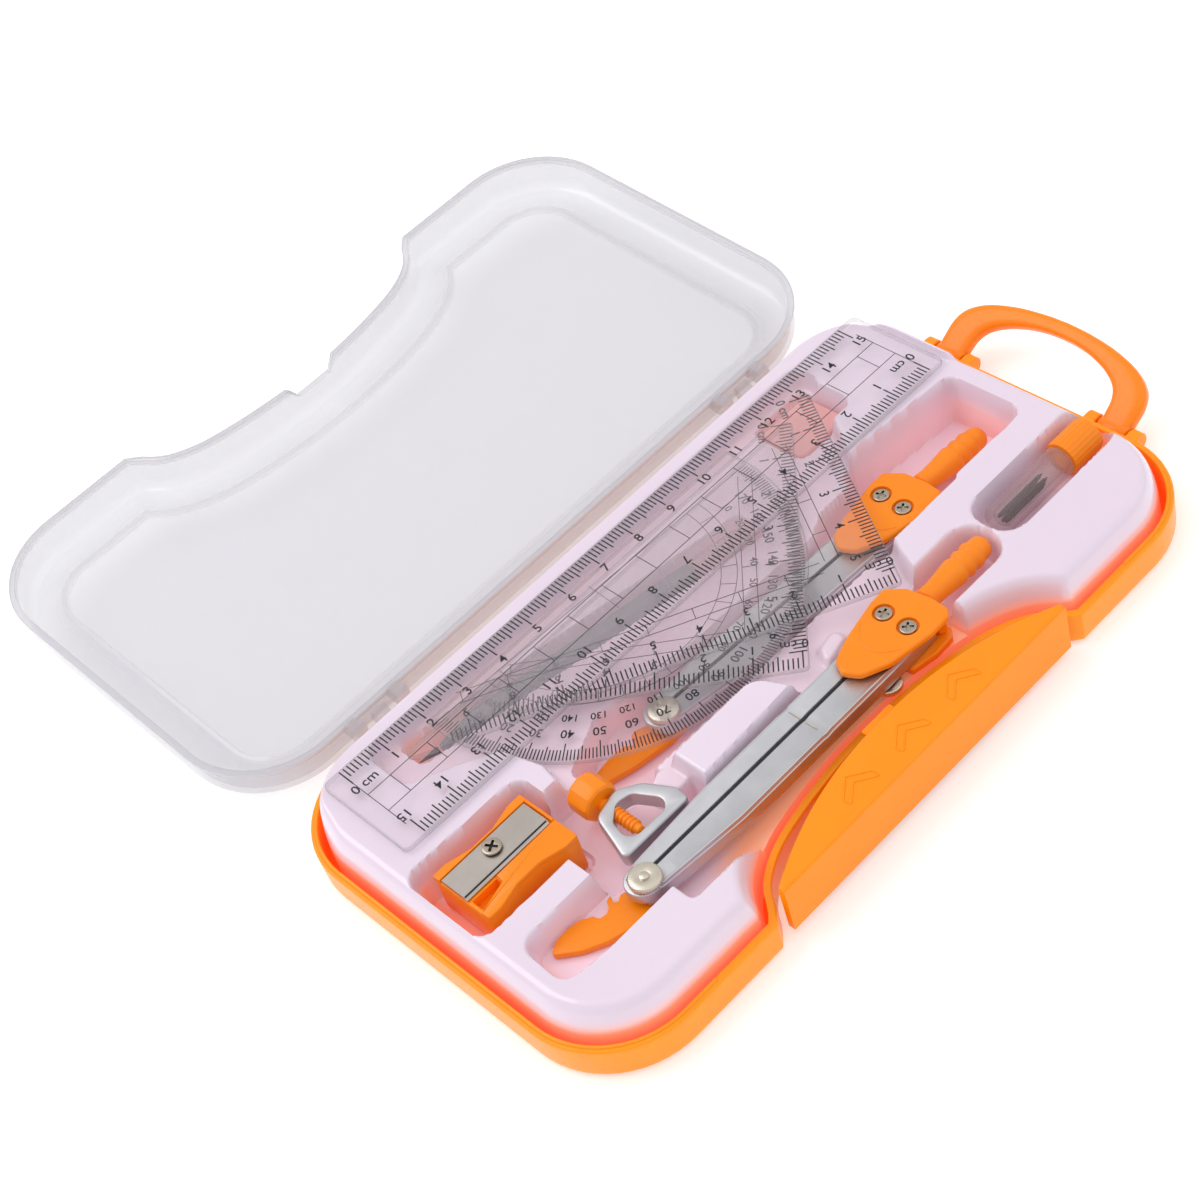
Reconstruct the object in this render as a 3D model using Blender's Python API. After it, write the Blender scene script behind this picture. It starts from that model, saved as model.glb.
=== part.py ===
"""Drafting instrument case, lying open, with its instruments in a moulded tray.

X runs along the case, Y from the press latch to the lid hinge, Z up. The origin is on the
table under the middle of the case. Lengths below are millimetres; MM turns them to metres.
"""
import math
import bpy

MM = 0.001
for old in list(bpy.data.objects):
    bpy.data.objects.remove(old, do_unlink=True)

# ---------------------------------------------------------------- driving dimensions
CASE_L = 178.4        # overall length of the base shell
CASE_W = 100.0        # overall width of the base shell, latch face to back wall
CORNER_R = 21.0       # plan radius of the case corners
BASE_H = 8.8          # height of the base rim
BASE_T = 1.6          # wall and floor of the base
GAP = 0.3             # clearance between separate pieces
TRAY_DEPTH = 11.2     # room in the tray above and below the compass legs
TRAY_T = 1.1          # sheet thickness of the tray
SHEET_T = 1.2         # set squares
RULER_T = 1.3
LID_T = 1.2           # lid wall
LID_OPEN = 175.4      # how far the lid lies open, degrees
LATCH_TOP = 14.4
LATCH_T = 1.5
LEG_T = 4.0           # thickness of the compass legs
SEAT = 0.4            # room under a compass head in its pocket
COVER_T = 1.8         # compass head covers
HANDLE_T = 4.2        # handle bar thickness
HANDLE_UP = 28.0      # handle at rest, degrees above level

K = min(CASE_L / 178.4, CASE_W / 100.0)   # the layout of the tray follows the case
HX, HY = CASE_L / 2, CASE_W / 2
TRAY_TOP = TRAY_DEPTH + LEG_T        # height of the tray's top face: deeper for thicker legs
RULER_Z = TRAY_TOP + GAP
RULER_TOP = RULER_Z + RULER_T
B_Z = RULER_Z - GAP - SHEET_T
A_Z = B_Z - GAP - SHEET_T
PRO_T = 1.0
PRO_Z = A_Z - GAP - PRO_T
REAR_TOP = B_Z - 2.8                 # top of the rear compass, under the set squares
HEAD_T = 2 * COVER_T + 2 * GAP + LEG_T            # a compass head, cover to cover
FLOOR_1 = RULER_TOP - HEAD_T - SEAT               # pocket floors under the two compasses
FLOOR_2 = REAR_TOP - HEAD_T - SEAT
LID_IN = RULER_TOP + 0.7          # underside of the lid's roof when closed
LID_TOP = LID_IN + LID_T
RIM = BASE_H + GAP                # lid rim when closed
HINGE_Y, HINGE_Z = HY + 2.8, 9.5

# ---------------------------------------------------------------- materials
COLOURS = {
    "orange": ((1.0, 0.29, 0.012), 0.0, 0.32),
    "orange_part": ((1.0, 0.21, 0.015), 0.0, 0.35),
    "tray": ((0.80, 0.68, 0.82), 0.0, 0.22),
    "clear": ((0.90, 0.90, 0.93), 0.0, 0.08),
    "nickel": ((0.62, 0.58, 0.52), 1.0, 0.22),
    "cast": ((0.52, 0.53, 0.55), 1.0, 0.38),
    "blade": ((0.36, 0.35, 0.33), 1.0, 0.35),
    "graphite": ((0.02, 0.02, 0.022), 0.0, 0.5),
    "barrel": ((0.09, 0.10, 0.11), 0.0, 0.35),
    "wood": ((0.62, 0.42, 0.22), 0.0, 0.6),
    "rubber": ((0.78, 0.30, 0.28), 0.0, 0.8),
}


def material(kind, name):
    mat = bpy.data.materials.new(name + "_" + kind)
    mat.use_nodes = True
    colour, metal, rough = COLOURS[kind]
    node = mat.node_tree.nodes["Principled BSDF"]
    node.inputs["Base Color"].default_value = (*colour, 1.0)
    node.inputs["Metallic"].default_value = metal
    node.inputs["Roughness"].default_value = rough
    return mat


# ---------------------------------------------------------------- mesh helpers
def mesh_object(name, verts, faces, kind=None):
    mesh = bpy.data.meshes.new(name)
    mesh.from_pydata([tuple(c * MM for c in v) for v in verts], [], faces)
    mesh.validate()
    obj = bpy.data.objects.new(name, mesh)
    bpy.context.scene.collection.objects.link(obj)
    if kind:
        mesh.materials.append(material(kind, name))
    else:
        obj.hide_render = True
        obj.display_type = "WIRE"
    return obj


def helper(obj):
    obj.hide_render = True
    obj.display_type = "WIRE"
    return obj


def boolean(obj, other, operation):
    mod = obj.modifiers.new(operation.lower(), "BOOLEAN")
    mod.operation = operation
    mod.solver = "EXACT"
    mod.object = helper(other)
    return obj


def cut(obj, *others):
    for other in others:
        boolean(obj, other, "DIFFERENCE")
    return obj


def join(obj, *others):
    for other in others:
        boolean(obj, other, "UNION")
    return obj


def area(pts):
    return sum(a[0] * b[1] - b[0] * a[1] for a, b in zip(pts, pts[1:] + pts[:1])) / 2


def ccw(pts):
    return pts if area(pts) > 0 else pts[::-1]


def loft(name, rings, kind=None):
    """Closed solid through rings of equal length, each a list of (x, y, z) seen anticlockwise from above."""
    n = len(rings[0])
    verts = [v for ring in rings for v in ring]
    faces = [list(range(n))[::-1]]
    for k in range(len(rings) - 1):
        for i in range(n):
            j = (i + 1) % n
            faces.append([k * n + i, k * n + j, (k + 1) * n + j, (k + 1) * n + i])
    faces.append([(len(rings) - 1) * n + i for i in range(n)])
    return mesh_object(name, verts, faces, kind)


def at(pts, z):
    return [(x, y, z) for x, y in pts]


def prism(name, pts, z0, z1, kind=None):
    pts = ccw(list(pts))
    return loft(name, [at(pts, z0), at(pts, z1)], kind)


def box(name, x0, x1, y0, y1, z0, z1, kind=None):
    return prism(name, [(x0, y0), (x1, y0), (x1, y1), (x0, y1)], z0, z1, kind)


def rounded(pts, radius, seg=4):
    """Polygon with each corner rounded; radius is one number or one per corner."""
    pts = ccw(list(pts))
    out = []
    n = len(pts)
    for i, p in enumerate(pts):
        r = radius[i] if isinstance(radius, (list, tuple)) else radius
        a, b = pts[i - 1], pts[(i + 1) % n]
        ua = (a[0] - p[0], a[1] - p[1])
        ub = (b[0] - p[0], b[1] - p[1])
        la, lb = math.hypot(*ua), math.hypot(*ub)
        ua, ub = (ua[0] / la, ua[1] / la), (ub[0] / lb, ub[1] / lb)
        half = math.acos(max(-1, min(1, ua[0] * ub[0] + ua[1] * ub[1]))) / 2
        reach = min(r / math.tan(half), 0.48 * la, 0.48 * lb)
        if r <= 0 or reach < 1e-6 or half > 1.54:
            out.append(p)
            continue
        r = reach * math.tan(half)
        mid = (ua[0] + ub[0], ua[1] + ub[1])
        length = math.hypot(*mid)
        c = (p[0] + mid[0] / length * r / math.sin(half), p[1] + mid[1] / length * r / math.sin(half))
        s = (p[0] + ua[0] * reach, p[1] + ua[1] * reach)
        e = (p[0] + ub[0] * reach, p[1] + ub[1] * reach)
        a0 = math.atan2(s[1] - c[1], s[0] - c[0])
        a1 = math.atan2(e[1] - c[1], e[0] - c[0])
        turn = (a1 - a0 + math.pi) % (2 * math.pi) - math.pi
        out += [(c[0] + r * math.cos(a0 + turn * k / seg), c[1] + r * math.sin(a0 + turn * k / seg))
                for k in range(seg + 1)]
    return out


def offset(pts, d):
    """Polygon moved outwards by d (inwards when negative), corner by corner."""
    pts = ccw(list(pts))
    out = []
    for a, p, b in zip(pts[-1:] + pts[:-1], pts, pts[1:] + pts[:1]):
        u = (p[0] - a[0], p[1] - a[1])
        v = (b[0] - p[0], b[1] - p[1])
        lu, lv = math.hypot(*u), math.hypot(*v)
        nu, nv = (u[1] / lu, -u[0] / lu), (v[1] / lv, -v[0] / lv)
        m = (nu[0] + nv[0], nu[1] + nv[1])
        k = d * 2 / max(0.6, m[0] ** 2 + m[1] ** 2)
        out.append((p[0] + m[0] * k, p[1] + m[1] * k))
    return out


def lathe(name, profile, seg, origin, axis, kind=None):
    """Solid of revolution. profile is [(r, t)] with r = 0 only at its ends; axis is 'x', 'y' or 'z'."""
    put = {
        "x": lambda r, t, a: (t, r * math.cos(a), r * math.sin(a)),
        "y": lambda r, t, a: (r * math.sin(a), t, r * math.cos(a)),
        "z": lambda r, t, a: (r * math.cos(a), r * math.sin(a), t),
    }[axis]
    rows = [p for p in profile if p[0] > 1e-6]
    verts = []
    for r, t in rows:
        for k in range(seg):
            p = put(r, t, 2 * math.pi * k / seg)
            verts.append(tuple(c + o for c, o in zip(p, origin)))
    faces = []
    for i in range(len(rows) - 1):
        for k in range(seg):
            j = (k + 1) % seg
            faces.append([i * seg + k, i * seg + j, (i + 1) * seg + j, (i + 1) * seg + k])
    faces.append(list(range(seg))[::-1])
    faces.append([(len(rows) - 1) * seg + k for k in range(seg)])
    obj = mesh_object(name, verts, faces, kind)
    turn = sum(b[0] * b[0] * (b[1] - a[1]) + a[0] * a[0] * (b[1] - a[1]) for a, b in zip(rows, rows[1:]))
    if turn < 0:
        obj.data.flip_normals()
    return obj


def rod(name, r, t0, t1, seg, origin, axis, kind=None):
    return lathe(name, [(r, t0), (r, t1)], seg, origin, axis, kind)


def turned(pts, degrees, cx=0.0, cy=0.0):
    c, s = math.cos(math.radians(degrees)), math.sin(math.radians(degrees))
    return [(cx + c * x - s * y, cy + s * x + c * y) for x, y in pts]


def scaled(pts):
    return [(x * K, y * K) for x, y in pts]


# ---------------------------------------------------------------- case outline
NOTCH = [(44.6, 0.0), (42.3, 2.6), (40.5, 5.2), (38.4, 7.4), (36.0, 9.0), (33.0, 10.5), (29.0, 11.9),
         (23.0, 13.2), (16.0, 14.3), (8.0, 15.1)]   # half of the scoop in the front, x and depth


def case_outline(grow=0.0, seg=8):
    """Rounded rectangle with the scoop for the latch in its front side, anticlockwise."""
    corners = rounded([(-HX, -HY), (HX, -HY), (HX, HY), (-HX, HY)], CORNER_R, seg)
    n = seg + 1
    scoop = [(-x * K, -HY + d * K) for x, d in NOTCH] + [(0.0, -HY + 15.3 * K)] + \
            [(x * K, -HY + d * K) for x, d in NOTCH[::-1]]
    pts = corners[:n] + scoop + corners[n:]
    return offset(pts, grow) if grow else pts


# ---------------------------------------------------------------- base shell
outline = case_outline()
base = loft("base_shell", [at(case_outline(-1.2), 0), at(outline, 1.2), at(outline, BASE_H)], "orange")
cut(base, prism("c_base", case_outline(-BASE_T), BASE_T, BASE_H + 5))

# hinge lugs at the back, each with a stub pin on both sides
HINGE_X = 56.0 * K
for side, tag in ((-1, "l"), (1, "r")):
    x = side * HINGE_X
    lug = loft("c_lug_" + tag, [
        [(x - 4, HY - 1.0, 2.0), (x + 4, HY - 1.0, 2.0), (x + 4, HINGE_Y + 1.6, 6.6), (x - 4, HINGE_Y + 1.6, 6.6)],
        [(x - 4, HY - 1.0, BASE_H), (x + 4, HY - 1.0, BASE_H), (x + 4, HINGE_Y + 1.7, BASE_H),
         (x - 4, HINGE_Y + 1.7, BASE_H)]])
    join(base, lug, rod("c_lugr_" + tag, 1.8, x - 4, x + 4, 12, (0, HINGE_Y, HINGE_Z), "x"),
         rod("c_stub_" + tag, 0.9, x - 8, x + 8, 8, (0, HINGE_Y, HINGE_Z), "x"))

# shelf under the latch, with two lugs whose stubs carry it
LATCH_Y, LATCH_Z = -HY + 7.4 * K, 4.2
join(base, box("c_shelf", -15, 15, -HY + 5.2 * K, -HY + 15.0 * K, 0, 1.0))
for side, tag in ((-1, "l"), (1, "r")):
    x = side * 9.5
    join(base, box("c_llug_" + tag, x - 2, x + 2, LATCH_Y - 1.7, LATCH_Y + 1.7, 0.6, LATCH_Z + 1.5),
         rod("c_lstub_" + tag, 0.9, min(x, x + side * 5), max(x, x + side * 5), 8, (0, LATCH_Y, LATCH_Z), "x"))

# handle lugs on the right end wall
PIV_X, PIV_Z = HX + 2.5, 5.0
LEG_IN, LEG_OUT = 18.6, 26.0     # |y| of the handle's two legs
for side, tag in ((-1, "f"), (1, "b")):
    for k, y in enumerate((LEG_IN - GAP - 1.5, LEG_OUT + GAP + 1.5)):
        y *= side
        join(base, rod("c_hl_%s%d" % (tag, k), 2.1, y - 1.5, y + 1.5, 10, (PIV_X, 0, PIV_Z), "y"),
             box("c_hb_%s%d" % (tag, k), HX - 1.2, PIV_X, y - 1.5, y + 1.5, PIV_Z - 2.05, PIV_Z + 2.05))
    a, b = side * (LEG_IN - GAP - 1.5), side * (LEG_OUT + GAP + 1.5)
    join(base, rod("c_hp_" + tag, 0.9, min(a, b), max(a, b), 8, (PIV_X, 0, PIV_Z), "y"))

# ---------------------------------------------------------------- handle, swinging on the end wall
up = math.radians(HANDLE_UP)


def handle_plane(u, y, w):
    """u out from the pivot along the handle, w across its thickness."""
    return (PIV_X + u * math.cos(up) - w * math.sin(up), y, PIV_Z + u * math.sin(up) + w * math.cos(up))


half_out = [(0.0, LEG_OUT), (7.5, LEG_OUT), (11.0, LEG_OUT - 1.7), (14.0, LEG_OUT - 6.0), (16.0, LEG_OUT - 13.0),
            (16.9, LEG_OUT - 20.0)]
half_in = [(0.0, LEG_IN), (5.6, LEG_IN), (8.6, LEG_IN - 1.6), (11.0, LEG_IN - 5.2), (12.6, LEG_IN - 11.0),
           (13.3, LEG_IN - 15.0)]
loop = half_out + [(u, -y) for u, y in half_out[::-1]] + [(u, -y) for u, y in half_in] + half_in[::-1]
h2 = HANDLE_T / 2
ring = ccw(loop)
handle = loft("handle", [[handle_plane(u, y, -h2) for u, y in ring], [handle_plane(u, y, h2) for u, y in ring]],
              "orange_part")
for side, tag in ((-1, "f"), (1, "b")):
    a, b = sorted((side * LEG_IN, side * LEG_OUT))
    join(handle, rod("c_eye_" + tag, 2.1, a, b, 12, (PIV_X, 0, PIV_Z), "y"))
    cut(handle, rod("c_eyeh_" + tag, 1.3, a - 1, b + 1, 10, (PIV_X, 0, PIV_Z), "y"))

# ---------------------------------------------------------------- press latch
LH, LATCH_D = 41.2 * K, 10.2 * K      # half length and depth of its curved back


def latch_plan(grow=0.0):
    """Flat front, curved back, anticlockwise; negative grow gives the inside."""
    q = 1 - max(0.0, -1.0 - 2 * grow) / LATCH_D
    end = min(LH + grow, LH * q ** (1 / 2.2))
    pts = [(-end, -HY + 0.3 - grow), (end, -HY + 0.3 - grow)]
    for k in range(13):
        x = end - 2 * end * k / 12
        pts.append((x, -HY + 1.9 + grow + LATCH_D * (1 - (abs(x) / LH) ** 2.2)))
    return pts


latch = loft("press_latch", [at(latch_plan(), 2.0), at(latch_plan(), LATCH_TOP - 0.5),
                             at(latch_plan(-0.5), LATCH_TOP)], "orange")
cut(latch, prism("c_latch", latch_plan(-LATCH_T), 1.0, LATCH_TOP - LATCH_T))
LATCH_BACK = -HY + 1.9 + LATCH_D
join(latch, box("c_tab", -5, 5, LATCH_BACK - 1.2, LATCH_BACK + 2.3, 11.4, 13.6))
for side, tag in ((-1, "l"), (1, "r")):
    x = side * 13.2
    join(latch, box("c_rib_" + tag, x - 1.0, x + 1.0, LATCH_Y - 2.4, LATCH_Y + 2.0, 2.4, LATCH_TOP - 0.9))
    cut(latch, rod("c_ribh_" + tag, 1.3, x - 2, x + 2, 10, (0, LATCH_Y, LATCH_Z), "x"))
    cut(latch, box("c_ribb_" + tag, x - 1.9, x + 1.9, LATCH_Y - 0.9, LATCH_Y + 0.9, 1.0, 3.4))

# ---------------------------------------------------------------- lid, built closed then swung open
swing = math.radians(LID_OPEN)


def opened(p):
    x, y, z = p
    dy, dz = y - HINGE_Y, z - HINGE_Z
    c, s = math.cos(-swing), math.sin(-swing)
    return (x, HINGE_Y + c * dy - s * dz, HINGE_Z + s * dy + c * dz)


def open_ring(pts, z):
    return [opened((x, y, z)) for x, y in pts]


out = [(0.6, RIM), (0.3, LID_TOP - 3.2), (-1.1, LID_TOP - 1.0), (-3.0, LID_TOP)]
inn = [(-3.6, LID_IN), (-1.9, LID_IN - 0.5), (-0.9, LID_TOP - 3.6), (-0.6, RIM)]
rings = [open_ring(case_outline(g, 7), z) for g, z in out + inn]
n = len(rings[0])
verts = [v for r in rings for v in r]
faces = []
for k in (0, 1, 2, 4, 5, 6, 7):
    m = (k + 1) % 8
    for i in range(n):
        j = (i + 1) % n
        faces.append([k * n + i, k * n + j, m * n + j, m * n + i])
faces.append([3 * n + i for i in range(n)])
faces.append([4 * n + i for i in range(n)][::-1])
lid = mesh_object("lid", verts, faces, "clear")
slot = loft("c_slot", [open_ring(ccw([(-5.8, LATCH_BACK - 0.1), (5.8, LATCH_BACK - 0.1), (5.8, LATCH_BACK + 6.9),
                                      (-5.8, LATCH_BACK + 6.9)]), z) for z in (10.6, 14.5)])
cut(lid, slot)
for side, tag in ((-1, "l"), (1, "r")):
    for k, dx in enumerate((-6.0, 6.0)):
        x = side * HINGE_X + dx
        x0, x1 = x - 1.6, x + 1.6
        arm = loft("c_arm_%s%d" % (tag, k), [
            open_ring(ccw([(x0, HY - 0.4), (x1, HY - 0.4), (x1, HINGE_Y + 1.9), (x0, HINGE_Y + 1.9)]), z)
            for z in (HINGE_Z, RIM + 3.2)])
        join(lid, arm, rod("c_knk_%s%d" % (tag, k), 1.9, x0, x1, 14, (0, HINGE_Y, HINGE_Z), "x"))
        cut(lid, rod("c_knh_%s%d" % (tag, k), 1.3, x0 - 1, x1 + 1, 10, (0, HINGE_Y, HINGE_Z), "x"))

# ---------------------------------------------------------------- tray with its pockets
# Pocket plans and floor heights; the layout is in millimetres about the case centre.
POCKETS = [
    ("sheets", [(-67, 41.5), (-67, 29), (-58, 24.5), (-49.5, 19), (-47, 9), (-49, -1), (-40, -12), (-31, -10.2),
                (-7.2, -10.2), (-3, -20.5), (31, -20.5), (34, -13), (48, 12), (63, 36), (63, 41.5)], 3.0, 10.6),
    ("ruler_end", [(63, 41.3), (58, 30), (52, 13.5), (83.0, 13.5), (83.0, 41.3)], 1.2, 15.0),
    ("compass_1", [(-52, -36), (-52, -18.9), (-31.5, -18.4), (-31, -19.9), (16, -18.2), (22, -15.9), (29, -16.6),
                   (29.5, -36)], 1.0, FLOOR_1),
    ("bracket", [(-59.5, -21), (-59.5, -9), (-53.0, 3.2), (-41.5, 3.2), (-31.0, -10), (-31, -21)], 2.5, 5.6),
    ("leaf_1", [(-79, -31), (-79, -18.5), (-52, -18.5), (-44, -31.0), (-50, -31.4)], [2.0, 3.0, 1, 1, 1], FLOOR_1 + 0.4),
    ("knob_1", [(26, -30.6), (26, -19.2), (47.6, -19.2), (47.6, -30.6)], [1, 1, 4.5, 4.5], 7.6),
    ("compass_2", [(-42, -7.0), (-44, 6.0), (-30, 12.5), (-20, 9.4), (30, 7.6), (36, 10.8), (57, 10.8), (57, -9.4),
                   (36, -9.4), (30, -7.6), (-18, -7.2)], 1.5, FLOOR_2),
    ("pencil", [(-60.5, 33.2), (-60.5, 41.2), (26, 25.8), (26, 16.6)], 1.5, 3.4),
    ("grip_2", [(44.5, 15.0), (47, 12.8), (78.6, 10.8), (78.6, -8.6), (50, -8.6), (44, 0)], 2.0, 3.2),
    ("eraser", [(45.5, 24.5), (45.5, 39.5), (61.5, 39.5), (61.5, 24.5)], 1.5, 5.6),
    ("tube", [(49.8, -29.2), (49.8, -17.6), (85.0, -17.6), (85.0, -29.2)], [1.5, 1.5, 4.8, 4.8], 7.8),
    ("sharpener", [(-82.2, -10.8), (-82.2, 10.6), (-53.0, 10.6), (-53.0, -10.8)], 2.0, 4.4),
]
STEP = [(-34.5, -15.4), (-37.6, -9.3), (-33.5, -7.6), (-29.5, -10.6), (-29.5, -15.4)]     # low step at the finger bar
TAB = [(4.6, -19.3), (7.0, -14.6), (12.6, -13.6), (13.0, -17.4)]         # small raised tab

TRAY_Z = BASE_T + GAP
tray_out = case_outline(-(BASE_T + 1.2))
tray = loft("inner_tray", [at(tray_out, TRAY_Z), at(case_outline(-(BASE_T + 2.2)), TRAY_TOP - 1.6),
                           at(case_outline(-(BASE_T + 3.6)), TRAY_TOP)], "tray")
hollow = prism("c_hollow", case_outline(-(BASE_T + 1.2 + TRAY_T + 1.4)), TRAY_Z - 1, TRAY_TOP - TRAY_T - 0.6)
for name, plan, radius, floor in POCKETS:
    cut(hollow, prism("c_g_" + name, offset(scaled(plan), TRAY_T), floor - TRAY_T, TRAY_TOP + 6))
cut(tray, hollow)
for name, plan, radius, floor in POCKETS:
    cut(tray, prism("c_p_" + name, rounded(scaled(plan), radius, 3), floor, TRAY_TOP + 5))
join(tray, prism("c_step", scaled(STEP), 4.4, 11.0), prism("c_tab2", scaled(TAB), 7.0, TRAY_TOP - 3.1))

# ---------------------------------------------------------------- the flat drawing pieces
RULER_L, RULER_W, RULER_TURN = 160.0, 26.8, -0.45
RULER_X, RULER_Y = 1.4, 27.6
prism("ruler", rounded(scaled(turned([(-RULER_L / 2, -RULER_W / 2), (RULER_L / 2, -RULER_W / 2),
                                      (RULER_L / 2, RULER_W / 2), (-RULER_L / 2, RULER_W / 2)],
                                     RULER_TURN, RULER_X, RULER_Y)), 1.6, 2), RULER_Z, RULER_TOP, "clear")
a_leg = 72.0
A0 = (1.5, -17.7)
prism("set_square_45", rounded(scaled([A0, (A0[0] + a_leg * 0.7071, A0[1] + a_leg * 0.7071),
                                       (A0[0] - a_leg * 0.7071, A0[1] + a_leg * 0.7071)]), 1.2, 2),
      A_Z, A_Z + SHEET_T, "clear")
B0 = (28.1, -19.5)
prism("set_square_60", rounded(scaled([B0, (B0[0] + 62.5 * 0.5, B0[1] + 62.5 * 0.866),
                                       (B0[0] - 108.25 * 0.866, B0[1] + 108.25 * 0.5)]), 1.2, 2),
      B_Z, B_Z + SHEET_T, "clear")
P0, PR = (-7.6, 35.8), 45.4
arc = [(P0[0] + PR * math.cos(math.radians(a)), P0[1] + PR * math.sin(math.radians(a)))
       for a in range(177, 358, 10)] + [(P0[0] + PR, P0[1] - 2.0)]
prism("protractor", scaled(arc + [(P0[0] + PR, P0[1] + 3.8), (P0[0] - PR, P0[1] + 3.8)]),
      PRO_Z, PRO_Z + PRO_T, "clear")


# ---------------------------------------------------------------- compasses
def compass(tag, ox, oy, degrees, top, reach, holder):
    """A compass lying flat, its head centre at (ox, oy), legs towards -X; top is the head's top face."""
    def place(pts):
        return scaled(turned(pts, degrees, ox, oy))

    def spot(x, y):
        return place([(x, y)])[0]

    z_leg = top - COVER_T - GAP - LEG_T           # underside of the legs
    z_mid = z_leg + LEG_T / 2
    head = [(8.2, -6.4), (6.6, -8.0), (1.5, -8.2), (-9.0, -6.4), (-14.6, -3.6), (-16.4, 0.0), (-14.6, 3.2),
            (-9.0, 5.2), (0.5, 7.2), (4.8, 7.4), (7.6, 3.6), (8.4, -2.0)]
    cover = prism("head_cover_" + tag, rounded(place(head), 0.8, 1), top - COVER_T, top, "orange_part")
    under = head[:3] + [(-4.5, -7.0), (-5.2, -1.8), (-14.6, -1.8)] + head[5:]
    back = prism("head_back_" + tag, place(under), z_leg - GAP - COVER_T, z_leg - GAP, "orange_part")
    for k, y in enumerate((3.15, -3.15)):
        x, y = spot(0, y)
        cut(cover, rod("c_s%d%s" % (k, tag), 2.3, top - 0.9, top + 1, 12, (x, y, 0), "z"))
        hole = rod("c_t%d%s" % (k, tag), 1.2, z_leg - 1.2, top + 1, 10, (x, y, 0), "z")
        cut(cover, hole)
        screw = lathe("screw_%s%d" % (tag, k + 1),
                      [(0.85, z_leg + 0.6), (0.85, top - 0.6), (2.0, top - 0.6), (1.8, top - 0.05), (1.2, top)],
                      12, (x, y, 0), "z", "nickel")
        cut(screw, box("c_u%d%s" % (k, tag), x - 1.3, x + 1.3, y - 0.22, y + 0.22, top - 0.35, top + 1))
        cut(screw, box("c_v%d%s" % (k, tag), x - 0.22, x + 0.22, y - 1.3, y + 1.3, top - 0.35, top + 1))
    # legs, each bored for its screw
    left = [(4.6, 0.35), (4.6, 4.9), (-4, 5.2), (-52, 5.2), (-reach + 2, 4.0), (-reach - 2.2, 2.2),
            (-reach - 2.2, 0.35)]
    right = [(4.6, -0.35), (-reach - 2.2, -0.35), (-reach - 2.2, -3.4), (-52, -6.6), (-4, -6.6), (4.6, -6.2)]
    for k, (nm, plan) in enumerate((("leg_left_", left), ("leg_right_", right))):
        leg = prism(nm + tag, place(plan), z_leg, z_leg + LEG_T, "cast")
        x, y = spot(0, (3.15, -3.15)[k])
        cut(leg, rod("c_w%d%s" % (k, tag), 1.2, z_leg - 1, z_leg + LEG_T + 1, 10, (x, y, 0), "z"))
        inner = [(-8, 1.4), (-8, 4.1), (-49, 4.1), (-49, 1.4)] if k == 0 else \
                [(-8, -1.5), (-49, -1.5), (-49, -5.5), (-8, -5.5)]
        cut(leg, prism("c_x%d%s" % (k, tag), place(inner), z_leg - 1, z_leg + LEG_T - 1.1))
        if k:
            xt, yt = spot(-reach, -1.5)
            cut(leg, rod("c_y" + tag, 1.35, z_leg - 1, z_leg + LEG_T + 1, 10, (xt, yt, 0), "z"))
    # grip, rings near its tip; its neck plugs between the covers
    gx, gy = spot(0, 0.9)
    grip = lathe("grip_" + tag, [(1.7, 5.2 * K), (1.7, 8.9 * K), (2.6, 9.4 * K), (2.5, 12 * K), (3.1, 18 * K),
                                 (2.8, 20.2 * K), (3.1, 21.4 * K), (2.8, 22.6 * K), (3.1, 23.8 * K),
                                 (2.9, 26.5 * K), (1.6, 28.3 * K)],
                 14, (0, 0, 0), "x", "orange_part")
    grip.rotation_euler = (0, 0, math.radians(degrees))
    grip.location = (gx * MM, gy * MM, z_mid * MM)
    # thumb screw with a shaft through the right leg
    tx, ty = spot(-reach, -1.5)
    z_top = z_leg + LEG_T
    lathe("thumb_screw_" + tag, [(0.95, z_leg + 0.2), (0.95, z_top + GAP), (3.2, z_top + GAP),
                                 (3.45, z_top + 0.6), (3.45, z_top + 1.4), (3.2, z_top + 1.7)],
          20, (tx, ty, 0), "z", "nickel")
    # leaf over the points, under the leg ends
    leaf = [(-reach + 3.0, 0.6), (-reach - 3.4, 3.0), (-reach - 5.6, 3.4), (-reach - 7.0, 1.0),
            (-reach - 11.4, 2.4), (-reach - 14.0, 2.2), (-reach - 22.0, 0.6), (-reach - 20.0, -1.2),
            (-reach - 11.0, -3.4), (-reach - 2.0, -4.4), (-reach + 3.0, -3.6)]
    if holder:      # a forked, curved leaf
        leaf = [(-reach + x, y) for x, y in (
            (3.0, 0.6), (-2.2, 2.9), (-3.6, 3.3), (-5.2, 2.4), (-4.6, 4.9), (-6.2, 4.4), (-6.9, 3.0), (-8.2, 2.4),
            (-9.7, 2.7), (-10.2, 4.2), (-12.3, 5.6), (-15.2, 6.1), (-18.2, 5.9), (-21.2, 4.4), (-16.8, 0.3),
            (-12.4, -2.2), (-8.1, -3.6), (-3.4, -4.2), (3.0, -3.6))]
    guard = prism("point_guard_" + tag, place(leaf), z_leg - GAP - 1.6, z_leg - GAP, "orange_part")
    wx, wy = spot(5.0, 0)
    # round nut under the right leg near the head
    nx, ny = spot(-9.5, -5.1)
    lathe("pivot_nut_" + tag, [(2.7 * K, z_leg - 1.6), (2.9 * K, z_leg - 1.4), (2.9 * K, z_leg - 0.5),
                                    (2.7 * K, z_leg - GAP)],
          18, (nx, ny, 0), "z", "nickel")
    if not holder:
        return
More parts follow.
